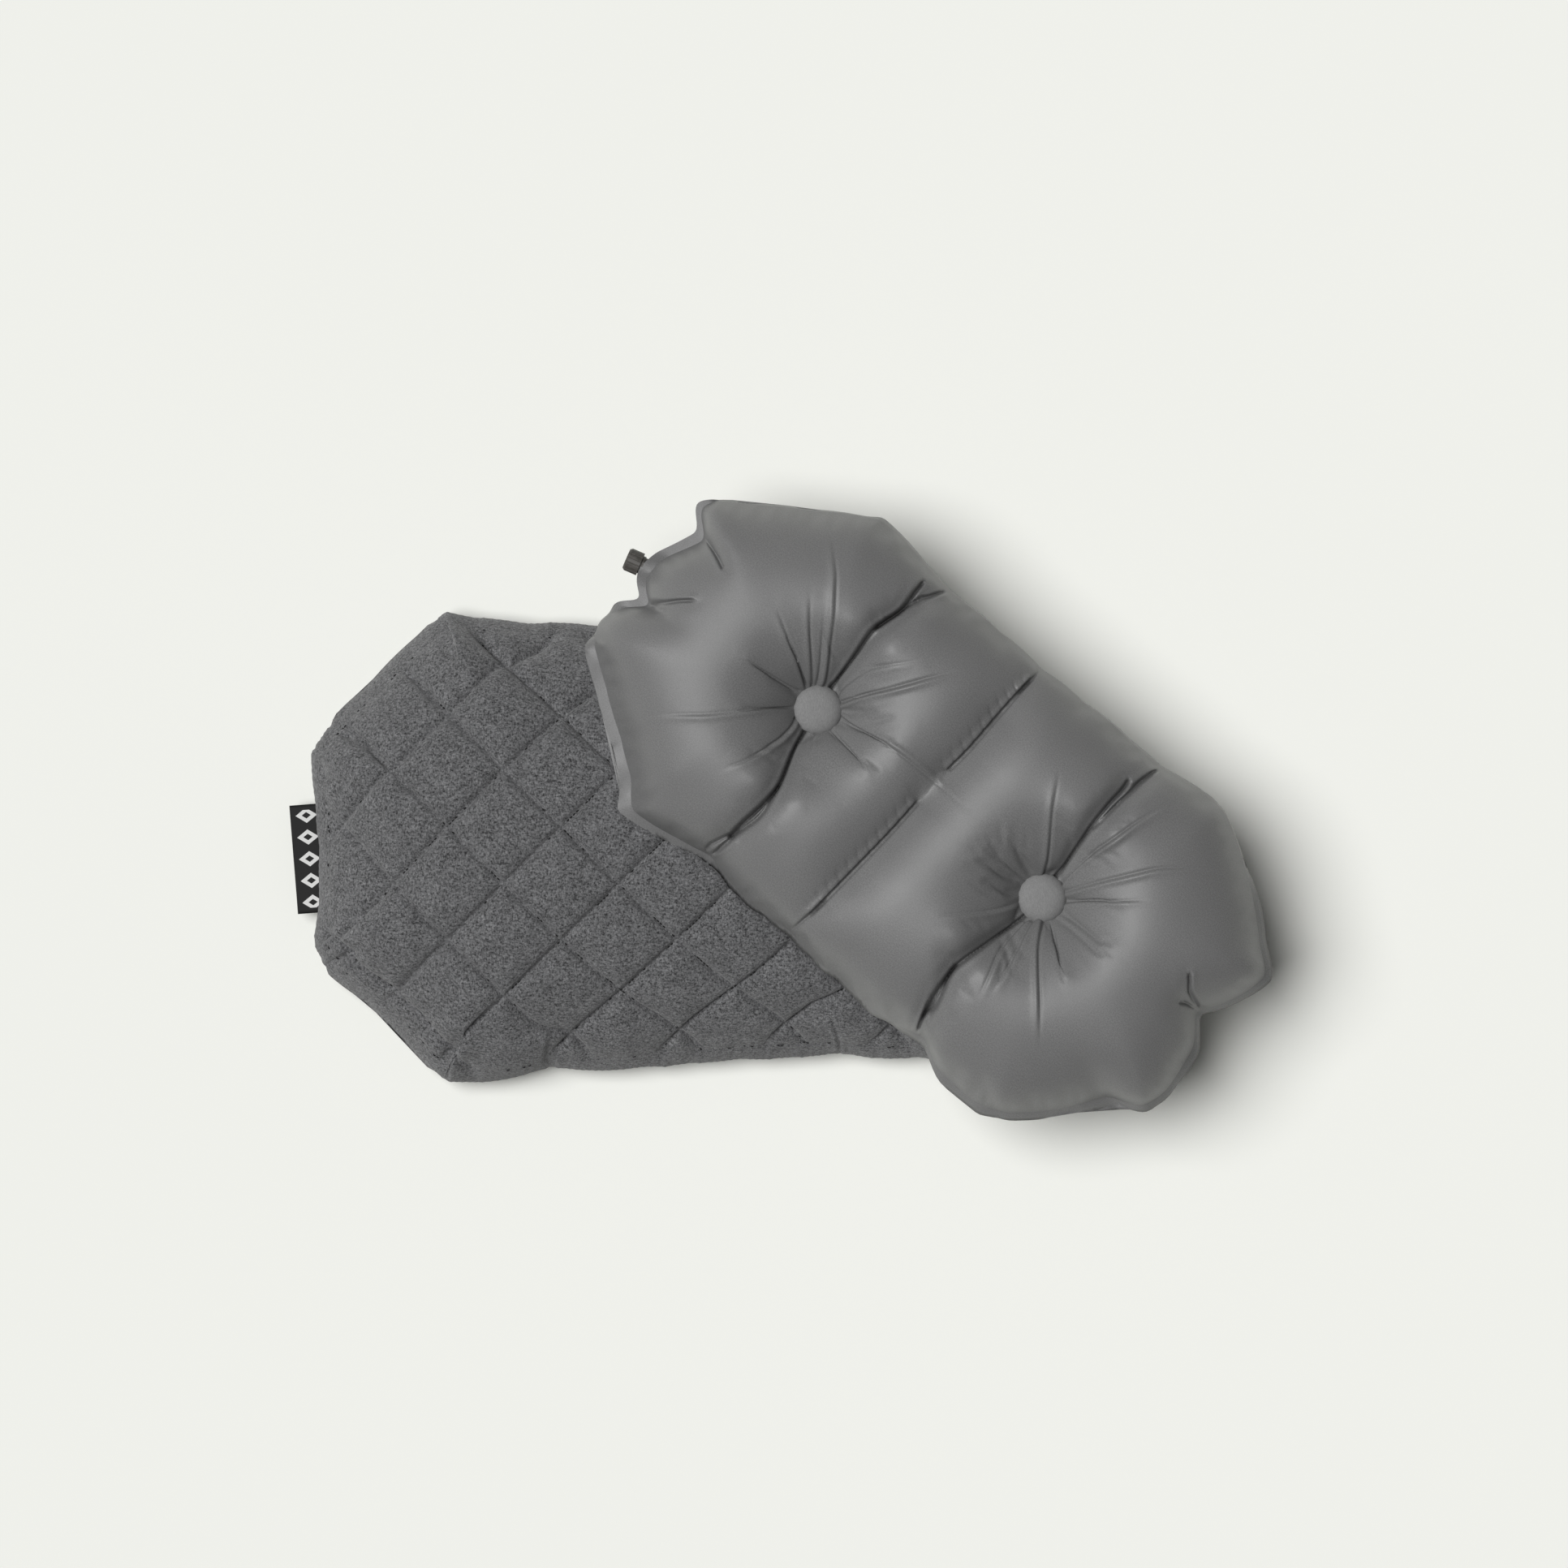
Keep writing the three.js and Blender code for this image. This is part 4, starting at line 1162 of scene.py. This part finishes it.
class Shader:
    """A Principled material built from a few plain steps."""

    def __init__(self, name, roughness, specular=0.5, sheen=0.0, sheen_roughness=0.5):
        self.material = bpy.data.materials.new(name)
        self.material.use_nodes = True
        self.tree = self.material.node_tree
        self.shader = self.tree.nodes["Principled BSDF"]
        self.shader.inputs["Roughness"].default_value = roughness
        self.shader.inputs["Specular IOR Level"].default_value = specular
        self.shader.inputs["Sheen Weight"].default_value = sheen
        self.shader.inputs["Sheen Roughness"].default_value = sheen_roughness
        self.place = self.tree.nodes.new("ShaderNodeTexCoord")
        self.relief = None

    def node(self, kind, **inputs):
        made = self.tree.nodes.new(kind)
        for name, value in inputs.items():
            self.feed(value, made.inputs[name.replace("_", " ")])
        return made

    def feed(self, value, socket):
        if isinstance(value, bpy.types.NodeSocket):
            self.tree.links.new(value, socket)
        else:
            socket.default_value = value

    def where(self, source="Object", stretch=(1, 1, 1), turn=0.0):
        made = self.node("ShaderNodeMapping", Vector=self.place.outputs[source], Scale=stretch)
        made.inputs["Rotation"].default_value = (0, 0, turn)
        return made.outputs["Vector"]

    def noise(self, where, scale, detail=3.0, rough=0.5):
        return self.node("ShaderNodeTexNoise", Vector=where, Scale=scale, Detail=detail,
                         Roughness=rough).outputs["Fac"]

    def bands(self, where, pitch):
        wave = self.node("ShaderNodeTexWave", Vector=where, Scale=2 * math.pi / (20 * pitch))
        return wave.outputs["Fac"]

    def spread(self, value, low, high, to_low=0.0, to_high=1.0):
        made = self.node("ShaderNodeMapRange", Value=value)
        limits = {"From Min": low, "From Max": high, "To Min": to_low, "To Max": to_high}
        for name, number in limits.items():
            made.inputs[name].default_value = number
        return made.outputs["Result"]

    def sums(self, kind, a, b):
        made = self.tree.nodes.new("ShaderNodeMath")
        made.operation = kind
        self.feed(a, made.inputs[0])
        self.feed(b, made.inputs[1])
        return made.outputs[0]

    def product(self, a, b):
        return self.sums("MULTIPLY", a, b)

    def size(self, value):
        return self.sums("ABSOLUTE", value, 0.0)

    def blend(self, share, a, b):
        made = self.tree.nodes.new("ShaderNodeMix")
        made.data_type = "RGBA"
        self.feed(share, made.inputs[0])
        self.feed(a if isinstance(a, bpy.types.NodeSocket) else (*a, 1), made.inputs[6])
        self.feed(b if isinstance(b, bpy.types.NodeSocket) else (*b, 1), made.inputs[7])
        return made.outputs[2]

    def colour(self, value):
        self.feed(value, self.shader.inputs["Base Color"])

    def rough(self, value):
        self.feed(value, self.shader.inputs["Roughness"])

    def bump(self, height, depth, strength=1.0):
        made = self.node("ShaderNodeBump", Height=height, Distance=depth, Strength=strength)
        if self.relief is not None:
            self.tree.links.new(self.relief, made.inputs["Normal"])
        self.relief = made.outputs["Normal"]
        self.tree.links.new(self.relief, self.shader.inputs["Normal"])


def satin_fabric():
    """Coated polyester: a tight weave with a soft gloss and a fine grain."""
    look = Shader("satin_polyester", 0.42, specular=0.45)
    cut = look.where("UV")
    grain = look.noise(cut, 900, 3.0, 0.75)
    cloud = look.noise(cut, 16, 3.0)
    base = look.blend(look.spread(grain, 0.32, 0.68), (0.132, 0.132, 0.132), (0.226, 0.226, 0.225))
    look.colour(look.blend(look.spread(cloud, 0.35, 0.65, 0, 0.30), base, (0.148, 0.148, 0.149)))
    look.rough(look.spread(grain, 0.3, 0.7, 0.36, 0.48))
    threads = look.bands(cut, 0.0006), look.bands(look.where("UV", turn=math.pi / 2), 0.0006)
    weave = look.product(*threads)
    look.bump(weave, 0.00005, 0.5)
    look.bump(grain, 0.00018, 0.6)
    return look.material


def matt_fabric(name, dark, light, speck, depth):
    """Brushed cloth: short fibres over a soft ground."""
    look = Shader(name, 0.9, specular=0.2, sheen=0.15)
    here = look.where()
    fibre = look.noise(look.where(stretch=(1, 0.35, 1), turn=0.7), 1 / speck, 4.0, 0.65)
    fine = look.noise(here, 3 / speck, 2.0)
    mixed = look.product(look.sums("ADD", fibre, fine), 0.5)
    look.colour(look.blend(look.spread(mixed, 0.36, 0.64), dark, light))
    look.bump(mixed, depth, 0.8)
    return look.material


def heather(name, dark, light):
    """Brushed heather knit: light and dark fibres in short, mixed strokes, with a soft nap."""
    look = Shader(name, 0.92, specular=0.15, sheen=0.2, sheen_roughness=0.6)
    one = look.noise(look.where(stretch=(1, 0.5, 1), turn=0.5), 820, 4.0, 0.8)
    two = look.noise(look.where(stretch=(0.5, 1, 1), turn=0.35), 700, 4.0, 0.8)
    wide = look.noise(look.where(), 90, 2.0)
    strokes = look.product(look.sums("ADD", one, two), 0.5)
    tone = look.blend(look.spread(strokes, 0.41, 0.60), dark, light)
    low = tuple(c * 0.8 for c in dark)
    look.colour(look.blend(look.spread(wide, 0.3, 0.7, 0.25, 0.0), tone, low))
    look.bump(strokes, 0.0006, 0.9)
    look.bump(look.noise(look.where(), 1800, 2.0), 0.0002, 0.5)
    return look.material


def plain_weave(name, dark, light, pitch):
    """A simple woven cloth with visible threads both ways."""
    look = Shader(name, 0.75, specular=0.3)
    one = look.bands(look.where(), pitch)
    two = look.bands(look.where(turn=math.pi / 2), pitch)
    weave = look.product(one, two)
    grain = look.noise(look.where(), 900, 2.0)
    look.colour(look.blend(look.product(look.spread(weave, 0, 1, 0.4, 1.0), grain), dark, light))
    look.bump(weave, 0.0001, 0.7)
    return look.material


def moulded(name, dark, light, roughness, grain=2500):
    """Moulded plastic or rubber with a fine spark texture and slight scuffs."""
    look = Shader(name, roughness, specular=0.5)
    spark = look.noise(look.where(), grain, 2.0)
    scuff = look.noise(look.where(stretch=(1, 1, 3)), 180, 4.0, 0.7)
    look.colour(look.blend(look.spread(scuff, 0.4, 0.75), dark, light))
    look.rough(look.spread(scuff, 0.35, 0.7, roughness - 0.06, roughness + 0.10))
    look.bump(spark, 0.00006, 0.6)
    return look.material


def label_weave():
    """Black woven tape with a row of white diamond outlines."""
    look = Shader("label_tape", 0.7, specular=0.3)
    uv = look.node("ShaderNodeSeparateXYZ", Vector=look.place.outputs["UV"])
    across, along = uv.outputs["X"], uv.outputs["Y"]
    front = look.sums("LESS_THAN", across, 0.5)
    centred = look.size(look.sums("SUBTRACT", look.sums("DIVIDE", across, 0.5), 0.5))
    cell = look.sums("FRACT", look.product(along, 5.0), 0.0)
    cell = look.product(look.size(look.sums("SUBTRACT", cell, 0.5)), 0.8)
    away = look.sums("ADD", centred, cell)
    ring = look.sums("SUBTRACT", look.sums("LESS_THAN", away, 0.28), look.sums("LESS_THAN", away, 0.12))
    clear_of_ends = look.sums("LESS_THAN", look.size(look.sums("SUBTRACT", along, 0.5)), 0.45)
    mark = look.product(look.product(ring, front), clear_of_ends)
    weave = look.bands(look.where(turn=math.pi / 2), 0.0007)
    ribs = look.bands(look.where(), 0.0007)
    black = look.blend(ribs, (0.004, 0.004, 0.004), (0.014, 0.014, 0.014))
    white = look.blend(weave, (0.55, 0.55, 0.54), (0.80, 0.80, 0.79))
    look.colour(look.blend(mark, black, white))
    look.bump(look.product(ribs, weave), 0.0001, 0.6)
    return look.material


def wear(piece, *materials):
    piece.data.materials.clear()
    for material in materials:
        piece.data.materials.append(material)


def cad_material(nodes, material):
    for node in nodes:
        piece = frame["nodes"][node]
        for slot in piece.material_slots:
            slot.material = material
        if not piece.material_slots:
            piece.data.materials.append(material)


# ---------------------------------------------------------------- the pieces, on their bodies

SIDES = ("left", "right")
SATIN = satin_fabric()
BRUSHED = matt_fabric("button_cloth", (0.185, 0.185, 0.185), (0.270, 0.270, 0.269), 0.0009, 0.00015)
QUILT = heather("heather_quilt", (0.022, 0.022, 0.023), (0.255, 0.256, 0.262))
BACK = heather("plain_back", (0.045, 0.045, 0.048), (0.105, 0.105, 0.111))
LINING = plain_weave("lining_cloth", (0.035, 0.035, 0.038), (0.090, 0.090, 0.095), 0.0009)
THREAD = matt_fabric("thread", (0.006, 0.006, 0.006), (0.018, 0.018, 0.019), 0.0006, 0.00008)
INNER = plain_weave("inner_polyester", (0.09, 0.09, 0.09), (0.19, 0.19, 0.19), 0.0007)
NYLON = moulded("moulded_nylon", (0.030, 0.030, 0.030), (0.060, 0.060, 0.060), 0.48)
VALVE = moulded("valve_polyurethane", (0.060, 0.056, 0.050), (0.105, 0.099, 0.090), 0.46)
SEAL = moulded("silicone_seal", (0.008, 0.008, 0.008), (0.020, 0.020, 0.020), 0.32)

bladder = make_bladder()
wear(bladder, SATIN)
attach(bladder, "bladder")
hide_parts("bladder_top_panel", "bladder_bottom_panel")

for face in ("upper", "lower"):
    for side in SIDES:
        node = f"button_cloth_{face}_{side}"
        button = make_button(node, face == "upper")
        wear(button, BRUSHED)
        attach(button, "bladder")
        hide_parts(node)

cover_sim = cover_skins()
cover = make_cover(bladder, cover_sim)
wear(cover, QUILT, BACK, LINING)
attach(cover, "cover")
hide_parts("cover_top_face", "cover_top_wadding", "cover_top_lining", "cover_back_panel")

thread = make_stitches(cover)
wear(thread, THREAD)
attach(thread, "cover")

HEMS = (("mouth_hem_upper", QUILT, "quilt_face"), ("mouth_hem_lower", BACK, "cover_back"))
for hem, (node, material, slot) in zip(make_hems(cover_sim), HEMS):
    wear(hem, material)
    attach(hem, "cover")
    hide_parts(node)

label = make_label()
wear(label, label_weave())
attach(label, "cover")
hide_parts("side_label")

cad_material([f"button_{part}_{face}_{side}" for part in ("core", "washer") for face in ("upper", "lower")
              for side in SIDES], NYLON)
cad_material([f"tuft_strap_{side}" for side in SIDES] + ["centre_web_far", "centre_web_near"], INNER)
cad_material(["valve_neck", "valve_mouth_sleeve", "valve_twist_grip"], VALVE)
cad_material(["valve_seal_ring"], SEAL)

# ---------------------------------------------------------------- stage, light and camera

VIEW_CENTRE = Vector((-0.0005, 0.0144, 0))  # the middle of the framed ground
VIEW_WIDTH = 1.159
VIEW_HEIGHT = 0.060  # above the ground, where the view is VIEW_WIDTH wide
CAMERA_HEIGHT = 6.0
WORLD_SHARE = 0.08  # of the floor's light that comes from all round


def floor_material():
    look = Shader("pale_floor", 0.95, specular=0.1)
    tone = look.noise(look.where(), 2.0, 2.0)
    look.colour(look.blend(tone, (0.935, 0.943, 0.895), (0.945, 0.953, 0.905)))
    return look.material


def make_stage():
    size = 6.0
    floor = mesh_object("floor", [(-size, -size, 0), (size, -size, 0), (size, size, 0), (-size, size, 0)],
                        [(0, 1, 2, 3)], smooth_faces=False)
    floor.location.z = -0.0005
    floor.data.materials.append(floor_material())


def make_light():
    world = bpy.data.worlds.new("studio")
    world.use_nodes = True
    world.node_tree.nodes["Background"].inputs["Color"].default_value = (1, 1, 1, 1)
    world.node_tree.nodes["Background"].inputs["Strength"].default_value = WORLD_SHARE
    bpy.context.scene.world = world
    sun = bpy.data.lights.new("overhead", "SUN")
    sun.angle = math.radians(40)
    sun.energy = math.pi * (1 - WORLD_SHARE)
    lamp = bpy.data.objects.new("overhead", sun)
    lamp.rotation_euler = Vector((-0.43, 0.10, 1)).to_track_quat("Z", "Y").to_euler()
    bpy.context.scene.collection.objects.link(lamp)


def make_camera():
    data = bpy.data.cameras.new("camera")
    data.lens = data.sensor_width * (CAMERA_HEIGHT - VIEW_HEIGHT) / VIEW_WIDTH
    camera = bpy.data.objects.new("camera", data)
    camera.location = (VIEW_CENTRE.x, VIEW_CENTRE.y, CAMERA_HEIGHT)
    bpy.context.scene.collection.objects.link(camera)
    bpy.context.scene.camera = camera


make_stage()
make_light()
make_camera()
bpy.context.scene.view_settings.view_transform = "Standard"
